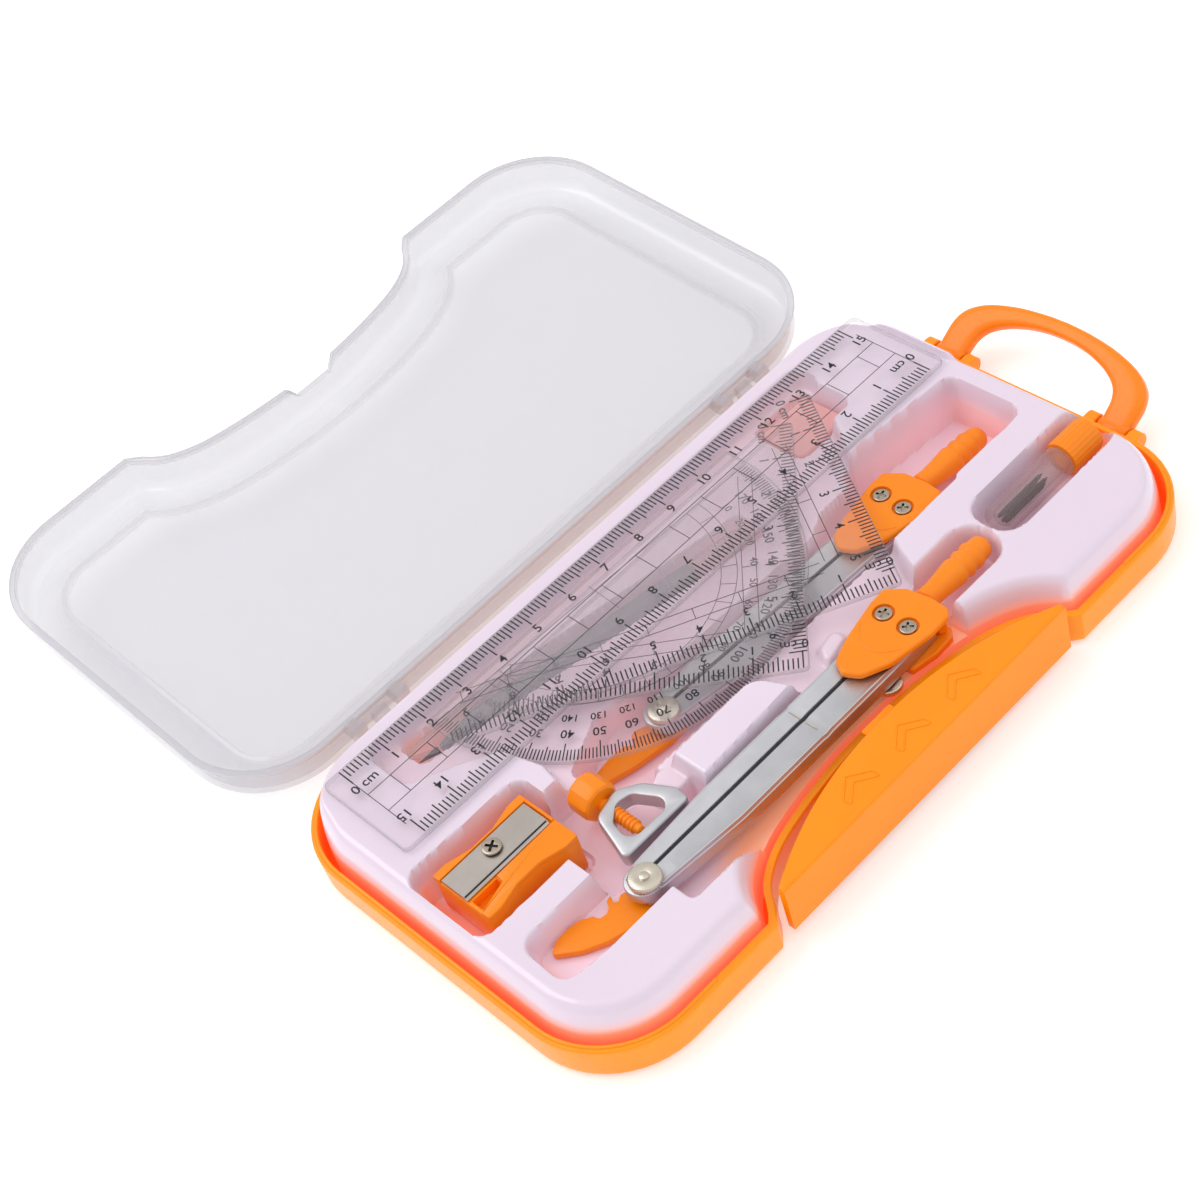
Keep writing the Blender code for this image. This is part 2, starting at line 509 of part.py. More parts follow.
    # pencil ring beside the left leg, clamp screw through its side
    ring = [(-reach + 19, 5.5), (-reach + 19.2, 9.4), (-reach + 16.0, 15.6), (-reach + 11.6, 19.2),
            (-reach + 5.2, 16.6), (-reach + 3.0, 10.2), (-reach + 1.2, 5.5)]
    bracket = prism("pencil_ring_" + tag, rounded(place(ring), 2.0, 2), z_leg + 0.2, z_leg + LEG_T, "cast")
    hole = [(-reach + 14.2, 7.2), (-reach + 15.4, 9.4), (-reach + 12.6, 14.4), (-reach + 9.6, 14.8),
            (-reach + 6.6, 12.4), (-reach + 4.8, 7.4)]
    cut(bracket, prism("c_ring" + tag, rounded(place(hole), 1.2, 2), z_leg - 2, z_leg + LEG_T + 2))
    sx, sy = spot(-reach + 8.4, 0)
    bore = rod("c_bore" + tag, 1.6, sy + 11.0 * K, sy + 22 * K, 12, (sx, 0, z_leg + 2.2), "y")
    cut(bracket, bore)
    lathe("clamp_screw_" + tag, [(1.0, 8.4 * K), (1.2, 9.6 * K), (1.2, 20.0 * K), (3.9, 20.0 * K), (4.35, 20.7 * K),
                                 (4.35, 25.2 * K), (3.9, 26.0 * K)], 12, (sx, sy, z_leg + 2.2), "y", "orange_part")


compass("1", 18.8, -25.7, 0.0, RULER_TOP, 73.6, True)
compass("2", 46.5, 0.0, -3.0, REAR_TOP, 68.0, False)

# ---------------------------------------------------------------- sharpener
SX, SY = -67.0 * K, -0.8 * K
S0, S1 = 4.8, 15.0
body = prism("sharpener_body", [(SX + x * K, SY + y * K) for x, y in (
    (-11.8, -8.0), (-8.5, -8.0), (-3.0, -6.6), (3.0, -6.6), (8.5, -8.2), (11.8, -8.2), (11.8, 8.4), (8.5, 8.4),
    (3.0, 6.8), (-3.0, 6.8), (-8.5, 8.4), (-11.8, 8.4))], S0, S1, "orange_part")
cut(body, lathe("c_cone", [(0.9, -13.0 * K), (0.9, -9.0 * K), (4.0, 11.0 * K), (4.2, 13.0 * K)], 16,
                (SX, SY - 1.6 * K, 9.6), "x"))
cut(body, prism("c_chip", [(SX - 13 * K, SY - 5.2 * K), (SX + 5 * K, SY - 2.6 * K), (SX + 5 * K, SY - 1.4 * K),
                           (SX - 13 * K, SY - 1.4 * K)], 9.6, S1 + 1))
cut(body, prism("c_bed", [(SX + x * K, SY + y * K) for x, y in ((-13, -1.6), (11.0, -1.6), (11.0, 6.4), (-13, 6.4))],
                S1 - 0.9, S1 + 1))
bx, by = SX - 0.4 * K, SY + 3.2 * K
cut(body, rod("c_sh", 1.3, S0 + 4.5, S1 + 1, 10, (bx, by, 0), "z"))
blade = prism("sharpener_blade", [(SX + x * K, SY + y * K) for x, y in ((-11.6, -1.2), (10.6, -1.2), (10.6, 6.0),
                                                                       (-11.6, 6.0))],
              S1 - 0.6, S1 + 0.2, "blade")
cut(blade, rod("c_bh", 1.3, S1 - 2, S1 + 2, 10, (bx, by, 0), "z"))
bs = lathe("sharpener_screw", [(0.95, S0 + 6), (0.95, S1 + 0.5), (2.0, S1 + 0.5), (1.9, S1 + 0.9), (1.2, S1 + 1.2)],
           14, (bx, by, 0), "z", "nickel")
cut(bs, box("c_b1", bx - 1.3, bx + 1.3, by - 0.22, by + 0.22, S1 + 0.85, S1 + 2),
    box("c_b2", bx - 0.22, bx + 0.22, by - 1.3, by + 1.3, S1 + 0.85, S1 + 2))

# ---------------------------------------------------------------- lead tube, cap and spare leads
TX0, TX1, TX2, TY, TZ = 52.4 * K, 75.0 * K, 83.0 * K, -23.0 * K, 12.2
tube = lathe("lead_tube", [(2.9, TX0), (3.5, TX0 + 0.6), (3.5, TX1 - 1.6), (2.6, TX1 - 1.6), (2.6, TX1 + 3.0)], 18,
             (0, TY, TZ), "x", "clear")
cut(tube, rod("c_tube", 2.1, TX0 + 1.2, TX1 + 6, 14, (0, TY, TZ), "x"))
cap = lathe("tube_cap", [(3.9, TX1 - 1.2), (4.1, TX1 - 0.8), (4.1, TX2 - 0.6), (3.7, TX2)], 12, (0, TY, TZ), "x",
            "orange_part")
cut(cap, rod("c_cap", 2.95, TX1 - 3, TX2 - 1.6, 14, (0, TY, TZ), "x"))
leads = lathe("spare_leads", [(0.3, 2.0), (0.8, 3.6), (0.8, 14.0), (0.5, 15.6)], 8, (TX0, TY, TZ - 1.0), "x",
              "graphite")
join(leads, lathe("c_lead2", [(0.3, 2.4), (0.8, 4.0), (0.8, 12.6), (0.3, 14.4)], 8, (TX0, TY - 0.9, TZ - 0.4), "x"))

# ---------------------------------------------------------------- pencil under the sheets
pz = 7.2
pencil = lathe("pencil", [(1.0, -37.5 * K), (3.1, -28 * K), (3.1, 27.0 * K)], 6, (0, 0, 0), "x", "barrel")
lead = lathe("pencil_lead", [(0.15, -43.0 * K), (0.85, -38.2 * K)], 8, (0, 0, 0), "x", "graphite")
cap2 = lathe("pencil_cap", [(3.0, 27.6 * K), (3.2, 28.2 * K), (3.2, 40.0 * K), (2.2, 42.0 * K)], 14, (0, 0, 0), "x",
             "clear")
for obj in (pencil, lead, cap2):
    obj.rotation_euler = (0, 0, math.radians(-10.2))
    obj.location = (-17.0 * K * MM, 29.2 * K * MM, pz * MM)
prism("eraser", rounded(scaled([(46.2, 25.2), (46.2, 38.8), (60.8, 38.8), (60.8, 25.2)]), 1.5, 2), 5.9, 10.6, "rubber")
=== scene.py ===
"""Looks of the drafting instrument case: every moulded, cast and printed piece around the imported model.

Lengths in the shape functions are millimetres; Piece.done turns them to metres.
"""
import math

import bpy
import numpy as np
from mathutils import Matrix, Vector
from mathutils.geometry import delaunay_2d_cdt


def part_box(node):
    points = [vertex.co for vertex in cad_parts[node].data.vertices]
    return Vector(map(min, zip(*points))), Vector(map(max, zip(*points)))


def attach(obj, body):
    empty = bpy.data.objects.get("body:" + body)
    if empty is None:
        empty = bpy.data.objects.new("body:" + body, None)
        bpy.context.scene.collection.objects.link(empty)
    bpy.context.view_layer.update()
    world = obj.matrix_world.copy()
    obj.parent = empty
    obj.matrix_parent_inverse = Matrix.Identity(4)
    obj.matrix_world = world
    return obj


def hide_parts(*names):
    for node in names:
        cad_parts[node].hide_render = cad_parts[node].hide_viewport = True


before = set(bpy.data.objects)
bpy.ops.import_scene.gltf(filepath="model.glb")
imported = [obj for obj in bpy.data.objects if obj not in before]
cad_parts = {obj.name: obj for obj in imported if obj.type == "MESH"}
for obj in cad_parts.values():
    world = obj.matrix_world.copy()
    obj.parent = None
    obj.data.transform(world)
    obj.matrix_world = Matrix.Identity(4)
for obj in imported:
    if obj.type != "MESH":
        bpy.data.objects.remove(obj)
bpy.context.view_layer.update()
TAU = 2 * math.pi
BEVEL = 0.25                               # at the ends of a prism


def extent(node):
    """Lowest and highest corner of a CAD node, in millimetres."""
    lo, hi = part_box(node)
    return np.array(lo) * 1000, np.array(hi) * 1000


# ---- main sizes, from the frame
HX, HY = -extent("base_shell")[0][:2]      # half length and half width of the case
CORNER = 21.0                              # radius of its corners in plan
SEAT = 8.42                                # where the lid's rim rests beside the base's raised lip
TRAY_TOP = 15.2
TRAY_GAP = 2.8                             # tray wall behind the shell's outer face
HINGE_X, HINGE_Y, HINGE_Z = 56.0, HY + 2.8, 9.5
LID_OPEN = 175.4                           # degrees
RULER_Z, RULER_TOP = (corner[2] for corner in extent("ruler"))
LID_RIM, LID_TOP = 9.1, RULER_TOP + 1.9
PIVOT_X, PIVOT_Z = HX + 2.5, 5.0           # the carry handle's axis
EARS = (16.8, 27.8)                        # the base's ears either side of each end of the handle
LATCH_Y, LATCH_Z = -HY + 7.4, 4.2          # the latch's axis
LATCH_TOP, LATCH_HALF, LATCH_BOW = 14.4, 41.2, 10.2


# ---- shader writing
class Sock:
    """A shader socket with arithmetic: each operator adds one Math node."""

    def __init__(self, net, out):
        self.net, self.out = net, out

    def _math(self, op, a, b):
        return self.net.add("ShaderNodeMath", {"operation": op}, {0: a, 1: b})

    def __add__(self, o): return self._math("ADD", self, o)
    def __sub__(self, o): return self._math("SUBTRACT", self, o)
    def __rsub__(self, o): return self._math("SUBTRACT", o, self)
    def __mul__(self, o): return self._math("MULTIPLY", self, o)


class Net:
    """One material's node tree around its Principled BSDF."""

    def __init__(self, name):
        self.mat = bpy.data.materials.new(name)
        self.mat.use_nodes = True
        self.tree = self.mat.node_tree
        self.bsdf = self.tree.nodes["Principled BSDF"]

    def add(self, kind, settings=None, inputs=None, out=0):
        node = self.tree.nodes.new(kind)
        for key, value in (settings or {}).items():
            setattr(node, key, value)
        for key, value in (inputs or {}).items():
            self.link(value, node.inputs[key])
        return Sock(self, node.outputs[out])

    def link(self, value, socket):
        if isinstance(value, Sock):
            self.tree.links.new(value.out, socket)
        else:
            socket.default_value = value

    def set(self, **values):
        """Sets or links inputs of the Principled BSDF; an underscore stands for a space."""
        for key, value in values.items():
            self.link(value, self.bsdf.inputs[key.replace("_", " ")])
        return self

    def place(self):
        return self.add("ShaderNodeTexCoord", out="Object")

    def axis(self, which):
        """One Object coordinate, in metres."""
        return self.add("ShaderNodeSeparateXYZ", None, {0: self.place()}, out=which)

    def mark(self, which):
        """A value stored at the mesh's points by Piece.raw."""
        return self.add("ShaderNodeAttribute", {"attribute_name": which}, out="Fac")

    def noise(self, scale, detail=3.0, where=None, rough=0.5):
        return self.add("ShaderNodeTexNoise", None, {"Vector": where or self.place(), "Scale": scale,
                                                     "Detail": detail, "Roughness": rough}, out=0)

    def mix(self, factor, a, b):
        """Colour a where the factor is 0, b where it is 1."""
        return self.add("ShaderNodeMix", {"data_type": "RGBA"}, {0: factor, 6: a, 7: b}, out=2)

    def step(self, value, low, high):
        """0 below low, 1 above high, smooth between."""
        return self.add("ShaderNodeMapRange", {"interpolation_type": "SMOOTHSTEP"},
                        {0: value, 1: low, 2: high, 3: 0.0, 4: 1.0})

    def bump(self, height, strength, distance):
        return self.add("ShaderNodeBump", None,
                        {"Height": height, "Strength": strength, "Distance": distance})


def rgb(r, g, b):
    """A colour given as it looks on a screen, 0 to 255, made linear."""
    shown = (c / 255 for c in (r, g, b))
    return tuple(c / 12.92 if c < 0.0404 else ((c + 0.055) / 1.055) ** 2.4 for c in shown) + (1.0,)


def shade(colour, part):
    """The colour times part, its alpha kept at 1."""
    return tuple(c * part for c in colour[:3]) + (1.0,)


def moulded(name, colour, deep, rough=0.3, coat=0.25, grain=0.0, painted_light=None):
    """Injection-moulded plastic: faint mottling, dull grain, soft coat.

    glow = (colour, full below, none above): painted shade and light, low places marked "inside" turn to that
    colour and emit it faintly.
    """
    net = Net(name)
    base = net.mix(net.step(net.noise(90.0, 4.0), 0.3, 0.7) * 0.35, colour, deep)
    if painted_light:
        painted_shade_tone, low, high = painted_light
        # painted shade and light: a deeper colour with a faint emission of it, full low on the inside, none
        # above
        painted_shade_mask = net.step(net.axis("Z"), high, low) * net.mark("inside")
        base = net.mix(painted_shade_mask, base, painted_shade_tone)
        net.set(Emission_Color=net.mix(painted_shade_mask, BLACK, painted_shade_tone), Emission_Strength=0.3)
    if grain:
        net.set(Normal=net.bump(net.noise(2600.0, 3.0), grain, 0.00004))
    return net.set(Base_Color=base, Roughness=net.noise(700.0, 2.0) * 0.12 + (rough - 0.06), Coat_Weight=coat,
                   Coat_Roughness=0.12, Specular_IOR_Level=0.28, Subsurface_Weight=0.12,
                   Subsurface_Radius=(0.004, 0.0015, 0.0004)).mat


def clear_sheet(name, tint, face, edge, rough=0.08, at_rim=0.0):
    """Clear plastic, fine scratches in its gloss: alpha = face + facing^2 (edge - face) + rim at_rim."""
    net = Net(name)
    facing = net.add("ShaderNodeLayerWeight", None, {"Blend": 0.35}, out="Facing")
    return net.set(Base_Color=net.mix(net.noise(60.0) * 0.5, tint, shade(tint, 0.93)),
                   Roughness=net.noise(900.0, 5.0) * 0.1 + rough, Specular_IOR_Level=0.9, Coat_Weight=0.5,
                   Alpha=facing * facing * (edge - face) + net.mark("rim") * at_rim + face).mat


def metal(name, colour, rough, grain_scale, bump, stretch=None):
    """Metal with a fine grain in its roughness and relief."""
    net = Net(name)
    where = net.place()
    if stretch:
        where = net.add("ShaderNodeMapping", None, {"Vector": where, "Scale": stretch})
    grain = net.noise(grain_scale, 4.0, where)
    mottle = net.step(net.noise(140.0, 3.0), 0.35, 0.65)
    return net.set(Base_Color=net.mix(mottle * 0.4, colour, shade(colour, 0.8)), Metallic=1.0,
                   Roughness=grain * 0.22 + (rough - 0.11), Normal=net.bump(grain, bump, 0.00005)).mat


def dull_black(name, colour, rough):
    """Near-black print or shadow gap with an uneven gloss."""
    net = Net(name)
    return net.set(Base_Color=colour, Roughness=net.noise(900.0) * 0.2 + rough).mat


def tray_material():
    """Thin lilac sheet: light from the orange shell showing through its low walls is painted into its colour
    and a faint emission, as pink, then orange.
    """
    net = Net("tray_lilac")
    height = net.axis("Z") + (net.noise(38.0, 3.0) * 0.0022 - 0.0011)
    low, lip, deep, lower = (net.step(height, top, bottom) for top, bottom in
                             ((0.0146, 0.0060), (0.0120, 0.0084), (0.0100, 0.0086), (0.0080, 0.0026)))
    rim = net.mark("rim")
    lilac = net.mix(net.step(net.noise(24.0), 0.35, 0.65) * 0.5, rgb(233, 217, 232), rgb(228, 210, 227))
    # painted light: pink, then orange, where the shell's light would show through the low walls
    painted_light_tint = net.mix(rim * deep, net.mix(rim, rgb(255, 206, 215), rgb(255, 190, 180)), rgb(255, 150, 96))
    pink = net.mix(low * (1 - rim) * 0.46 + lip * rim * 0.85, lilac, painted_light_tint)
    # painted light: faint pink and orange emission in the low places
    painted_light = net.mix(rim * lip, net.mix(low * 0.45, BLACK, rgb(255, 192, 206)), rgb(255, 184, 140))
    # painted light and shade: strong orange low beside the rim
    return net.set(Base_Color=net.mix(lower * rim * 0.9, pink, rgb(255, 92, 28)), Emission_Color=painted_light,
                   Emission_Strength=0.17, Roughness=net.noise(420.0, 3.0) * 0.1 + 0.16,
                   Normal=net.bump(net.noise(60.0, 2.0), 0.25, 0.0002), Coat_Weight=0.6, Coat_Roughness=0.07,
                   Subsurface_Weight=0.2, Subsurface_Radius=(0.003, 0.0018, 0.0016)).mat


BLACK = (0.0, 0.0, 0.0, 1.0)
# case_orange paints shade and light on the shell's inside: deeper red-orange with a faint emission low in the
# gap behind the tray
ORANGE = moulded("case_orange", rgb(255, 156, 12), rgb(255, 148, 6), 0.3, 0.08, 0.12,
                 (rgb(255, 88, 20), 0.0015, 0.0088))
LATCH_ORANGE = moulded("latch_orange", rgb(255, 148, 0), rgb(255, 141, 0), 0.34, 0.06, 0.15)
PART_ORANGE = moulded("instrument_orange", rgb(255, 141, 10), rgb(255, 132, 6), 0.3, 0.12, 0.2)
HANDLE_ORANGE = moulded("handle_orange", rgb(255, 138, 8), rgb(255, 130, 4), 0.28, 0.12, 0.1)
TRAY = tray_material()
LID_CLEAR = clear_sheet("lid_clear", rgb(198, 195, 203), 0.3, 0.6, 0.08, 0.26)
SHEET_CLEAR = clear_sheet("sheet_clear", rgb(224, 210, 217), 0.06, 0.4)
SHEET_EDGE = clear_sheet("sheet_edge", rgb(150, 146, 150), 0.3, 0.6)
TUBE_CLEAR = clear_sheet("tube_clear", rgb(186, 160, 160), 0.17, 0.85)
NICKEL = metal("nickel", rgb(214, 205, 190), 0.3, 900.0, 0.25)
# a darker copy of the nickel for the screw heads: painted shade
SHADED_NICKEL = metal("screw_nickel_shaded", rgb(188, 176, 160), 0.24, 900.0, 0.25)
CAST = metal("cast_metal", rgb(205, 204, 208), 0.42, 1700.0, 0.55)
STEEL = metal("blade_steel", rgb(188, 180, 173), 0.34, 260.0, 0.3, (1.0, 14.0, 14.0))
INK = dull_black("print_black", (0.012, 0.012, 0.014, 1.0), 0.4)
# black standing in for shade: painted shade in recesses, holes and gaps, and a black line along the sharpener
# blade
SHADE_BLACK = dull_black("painted_shade_black", (0.01, 0.01, 0.011, 1.0), 0.5)
GRAPHITE = moulded("graphite", (0.03, 0.03, 0.034, 1.0), (0.02, 0.02, 0.022, 1.0), 0.4, 0.0, 0.3)
BARREL = moulded("pencil_grey", rgb(108, 114, 118), rgb(96, 102, 108), 0.35, 0.3)
PINK = moulded("eraser_pink", rgb(252, 178, 174), rgb(246, 166, 162), 0.75, 0.0, 0.4)
PRINTED = (SHEET_CLEAR, SHEET_EDGE, INK)


# ---- mesh building
class Piece:
    """Collects surfaces given as arrays of points and makes one object of them, in metres."""

    def __init__(self):
        self.points, self.faces, self.index, self.marks, self.count = [], [], [], {}, 0

    def raw(self, points, faces, mat=0, **marks):
        """Adds points and faces; a mark is one value or one per point, 0 where it isn't given."""
        points = np.asarray(points, float).reshape(-1, 3)
        for key in set(marks) | set(self.marks):
            column = self.marks.setdefault(key, [np.zeros(self.count)])
            column.append(np.broadcast_to(np.ravel(marks.get(key, 0.0)), len(points)))
        self.points.append(points)
        self.faces += [np.asarray(f) + self.count for f in faces]
        self.index += [mat] * len(faces)
        self.count += len(points)
        return self

    def loft(self, rings, caps=(True, True), closed=False, mat=0, cap_mat=None, **marks):
        """Rings of points, each ring anticlockwise seen from ahead of the sweep, joined in order."""
        rings = np.asarray(rings, float)
        k, n = rings.shape[:2]
        i = np.arange(n)
        rows = []
        for a in range(k if closed else k - 1):
            b = (a + 1) % k
            rows.append(np.stack([a * n + i, a * n + (i + 1) % n, b * n + (i + 1) % n, b * n + i], 1))
        faces = list(np.concatenate(rows))
        if not closed and caps[0]:
            faces.append(i[::-1].copy())
        if not closed and caps[1]:
            faces.append((k - 1) * n + i)
        spread = {key: np.repeat(np.asarray(v, float), n) if np.ndim(v) == 1 and len(v) == k else v
                  for key, v in marks.items()}
        self.raw(rings, faces, mat, **spread)
        if cap_mat is not None:
            self.index[-sum(caps):] = [cap_mat] * sum(caps)
        return self

    def slab(self, outline, z0, z1, r=0.3, seg=3, mat=0, cap_mat=None):
        """A flat piece: the outline at every height, drawn in as edge_rows says."""
        rings = [level(grow(outline, d), z) for d, z in edge_rows(z0, z1, r, seg)]
        return self.loft(rings, mat=mat, cap_mat=cap_mat)

    def prism(self, view, at, half, across=0, mat=0):
        """A side view carried along X (across = 0) or Y (1), half to each side of at, its ends bevelled."""
        rings = [np.insert(grow(view, -g), across, at + s, axis=1)
                 for s, g in ((-half, BEVEL), (BEVEL - half, 0), (half - BEVEL, 0), (half, BEVEL))]
        return self.loft(rings[::-1] if across else rings, mat=mat)

    def pin(self, r, a, b, n, centre, axis="z"):
        """A plain cylinder between a and b along the axis."""
        return self.loft(spun([(r, min(a, b)), (r, max(a, b))], n, centre, axis))

    def plate(self, outline, holes, z0, z1, r=0.3, hole_r=0.15, mat=0):
        """A flat piece with holes: bevelled outer and inner walls, faces filled by constrained triangles."""
        for edge, rad, sign in [(outline, r, 1)] + [(hole, hole_r, -1) for hole in holes]:
            rings = [level(grow(edge, sign * d), z) for d, z in edge_rows(z0, z1, rad, 3)]
            self.loft(rings[::sign], caps=(False, False), mat=mat)
        for z, flip in ((z1, False), (z0, True)):
            loops = [grow(outline, -r)] + [grow(hole, hole_r) for hole in holes]
            flat = np.concatenate(loops)
            edges, start = [], 0
            for loop in loops:
                n = len(loop)
                edges += [(start + i, start + (i + 1) % n) for i in range(n)]
                start += n
            points, _, faces = delaunay_2d_cdt([Vector(p) for p in flat.tolist()], edges, [], 1, 1e-6)[:3]
            points = np.array([tuple(p) for p in points])
            faces = np.array([f for f in faces if len(f) == 3])
            mid = points[faces].mean(1)
            keep = np.ones(len(faces), bool)
            for hole in loops[1:]:
                keep &= distance(mid[:, 0], mid[:, 1], hole) > 0
            keep &= distance(mid[:, 0], mid[:, 1], loops[0]) < 0
            faces = faces[keep]
            a, b, c = points[faces[:, 0]], points[faces[:, 1]], points[faces[:, 2]]
            turned = (b[:, 0] - a[:, 0]) * (c[:, 1] - a[:, 1]) < (c[:, 0] - a[:, 0]) * (b[:, 1] - a[:, 1])
            faces[turned != flip] = faces[turned != flip][:, ::-1]
            self.raw(level(points, z), list(faces), mat)
        return self

    def move(self, matrix):
        """Turns and moves everything collected so far by a 4 x 4 matrix in millimetres."""
        m = np.asarray(matrix)
        self.points = [p @ m[:3, :3].T + m[:3, 3] for p in self.points]
        return self

    def welded(self, step=1e-4):
        """Joins points that coincide, so that separately made faces share their edges."""
        points = np.concatenate(self.points)
        _, first, back = np.unique(np.round(points / step).astype(np.int64), axis=0, return_index=True,
                                   return_inverse=True)
        back = back.reshape(-1)
        kept = [(back[f], m) for f, m in zip(self.faces, self.index)]
        kept = [(f[f != np.roll(f, 1)], m) for f, m in kept]
        kept = [(f, m) for f, m in kept if len(f) > 2]
        self.faces, self.index = [f for f, _ in kept], [m for _, m in kept]
        self.marks = {key: [np.concatenate(column)[first]] for key, column in self.marks.items()}
        self.points, self.count = [points[first]], len(first)
        return self

    def done(self, name, body, slot, mats, replaces=(), smooth=32.0):
        """Makes the object, in metres; smooth is the angle in degrees past which an edge is sharp."""
        mesh = bpy.data.meshes.new(name)
        sizes = np.array([len(f) for f in self.faces])
        mesh.vertices.add(self.count)
        mesh.vertices.foreach_set("co", (np.concatenate(self.points) * 0.001).astype(np.float32).ravel())
        mesh.loops.add(int(sizes.sum()))
        mesh.loops.foreach_set("vertex_index", np.concatenate(self.faces).astype(np.int32))
        mesh.polygons.add(len(sizes))
        mesh.polygons.foreach_set("loop_start", np.concatenate([[0], np.cumsum(sizes)[:-1]]).astype(np.int32))
        mesh.polygons.foreach_set("material_index", np.array(self.index, np.int32))
        mesh.update(calc_edges=True)
        mesh.validate()
        for key, columns in self.marks.items():
            layer = mesh.attributes.new(key, "FLOAT", "POINT")
            layer.data.foreach_set("value", np.concatenate(columns).astype(np.float32))
        for mat in mats if isinstance(mats, (list, tuple)) else [mats]:
            mesh.materials.append(mat)
        mesh.shade_smooth()
        mesh.set_sharp_from_angle(angle=math.radians(smooth))
        obj = bpy.data.objects.new(name, mesh)
        bpy.context.scene.collection.objects.link(obj)
        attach(obj, body)
        if replaces:
            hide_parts(*replaces)
        return obj


def edge_rows(z0, z1, r, seg):
    """Offset and height up a wall: -r (1 - sin t) at z0 + r (1 - cos t), and the same mirrored at z1."""
    a = np.linspace(0, math.pi / 2, seg + 1)
    return ([(-r * (1 - math.sin(t)), z0 + r * (1 - math.cos(t))) for t in a]
            + [(-r * (1 - math.cos(t)), z1 - r * (1 - math.sin(t))) for t in a])


def level(outline, z):
    """The outline lifted to height z, a number or one per point."""
    outline = np.asarray(outline, float)
    return np.column_stack([outline, np.broadcast_to(np.asarray(z, float), len(outline))])


def grow(outline, d):
    """Each point moved along the mean of its two edge normals by d over the cosine of the half turn."""
    p = np.asarray(outline, float)
    if abs(d) < 1e-9:
        return p
    a = p - np.roll(p, 1, 0)
    b = np.roll(p, -1, 0) - p
    a = np.column_stack([a[:, 1], -a[:, 0]]) / np.maximum(np.linalg.norm(a, axis=1), 1e-9)[:, None]
    b = np.column_stack([b[:, 1], -b[:, 0]]) / np.maximum(np.linalg.norm(b, axis=1), 1e-9)[:, None]
    m = a + b
    return p + m * (2 * d / np.maximum((m ** 2).sum(1), 0.9))[:, None]


def rounded(corners, radius, seg=6):
    """Polygon with each corner replaced by an arc tangent to both sides, anticlockwise."""
    p = np.asarray(corners, float)
    if (p[:, 0] * np.roll(p[:, 1], -1) - np.roll(p[:, 0], -1) * p[:, 1]).sum() < 0:
        p = p[::-1]
        radius = radius[::-1] if np.ndim(radius) else radius
    radius = np.broadcast_to(radius, len(p))
    out = []
    for i, r in enumerate(radius):
        ua, ub = p[i - 1] - p[i], p[(i + 1) % len(p)] - p[i]
        la, lb = np.linalg.norm(ua), np.linalg.norm(ub)
        ua, ub = ua / la, ub / lb
        half = math.acos(max(-1.0, min(1.0, float(ua @ ub)))) / 2
        if half > 1.55 or r <= 0:
            out.append(p[i][None])
            continue
        reach = min(r / math.tan(half), 0.49 * la, 0.49 * lb)
        r = reach * math.tan(half)
        c = p[i] + (ua + ub) / np.linalg.norm(ua + ub) * r / math.sin(half)
        a0 = math.atan2(*(p[i] + ua * reach - c)[::-1])
        a1 = math.atan2(*(p[i] + ub * reach - c)[::-1])
        t = a0 + ((a1 - a0 + math.pi) % TAU - math.pi) * np.linspace(0, 1, seg + 1)
        out.append(around(*c, r, t))
    return np.concatenate(out)


def flowing(points, seg=6):
    """Open Catmull-Rom curve through the points."""
    p = np.asarray(points, float)
    q = np.concatenate([[2 * p[0] - p[1]], p, [2 * p[-1] - p[-2]]])
    t = np.linspace(0, 1, seg, endpoint=False)[:, None, None]
    a, b, c, d = q[:-3], q[1:-2], q[2:-1], q[3:]
    curve = 0.5 * (2 * b + (c - a) * t + (2 * a - 5 * b + 4 * c - d) * t ** 2
                   + (3 * b - a - 3 * c + d) * t ** 3)
    return np.concatenate([curve.transpose(1, 0, 2).reshape(-1, p.shape[1]), p[-1:]])


def oblong(x0, x1, y0, y1):
    return np.array([(x0, y0), (x1, y0), (x1, y1), (x0, y1)], float)


def around(x, y, r, angles):
    return np.column_stack([x + r * np.cos(angles), y + r * np.sin(angles)])


def disc(x, y, r, n=28):
    return around(x, y, r, np.linspace(0, TAU, n, endpoint=False))


def turn(points, degrees, centre=(0, 0)):
    """Plan points turned about the origin, anticlockwise, then shifted."""
    c, s = math.cos(math.radians(degrees)), math.sin(math.radians(degrees))
    return np.asarray(points, float) @ np.array([[c, s], [-s, c]]) + np.asarray(centre, float)


def placed(degrees, *shift):
    """4 x 4 matrix of a turn about Z followed by a shift."""
    m = np.eye(4)
    m[:2, :2] = turn(np.eye(2), degrees).T
    m[:len(shift), 3] = shift
    return m


def spun(profile, n, centre, axis="z", knurl=None):
    """Rings of a turned piece: profile rows (radius, along); knurl = (teeth, depth, first row, last row)."""
    profile = np.asarray(profile, float)
    a = np.linspace(0, TAU, n, endpoint=False)
    r = np.repeat(profile[:, :1], n, 1)
    if knurl:
        teeth, depth, first, last = knurl
        r[first:last + 1] -= depth * (0.5 + 0.5 * np.cos(teeth * a))
    t = np.repeat(profile[:, 1:2], n, 1)
    u, v = r * np.cos(a), r * np.sin(a)
    order = {"z": (u, v, t), "x": (t, u, v), "y": (v, t, u)}[axis]
    rings = np.stack(order, 2) + np.asarray(centre, float)
    return rings if profile[-1, 1] > profile[0, 1] else rings[::-1]


def tube_along(path, radius, n=10):
    """Circle of the given radius swept along a level path, square to it."""
    t = np.gradient(path, axis=0)
    side = np.column_stack([t[:, 1], -t[:, 0], t[:, 2]]) / np.linalg.norm(t, axis=1)[:, None]
    a = np.linspace(0, TAU, n, endpoint=False)[:, None]
    return path[:, None] + radius * (np.cos(a) * side[:, None] - np.sin(a) * np.array([0.0, 0.0, 1.0]))


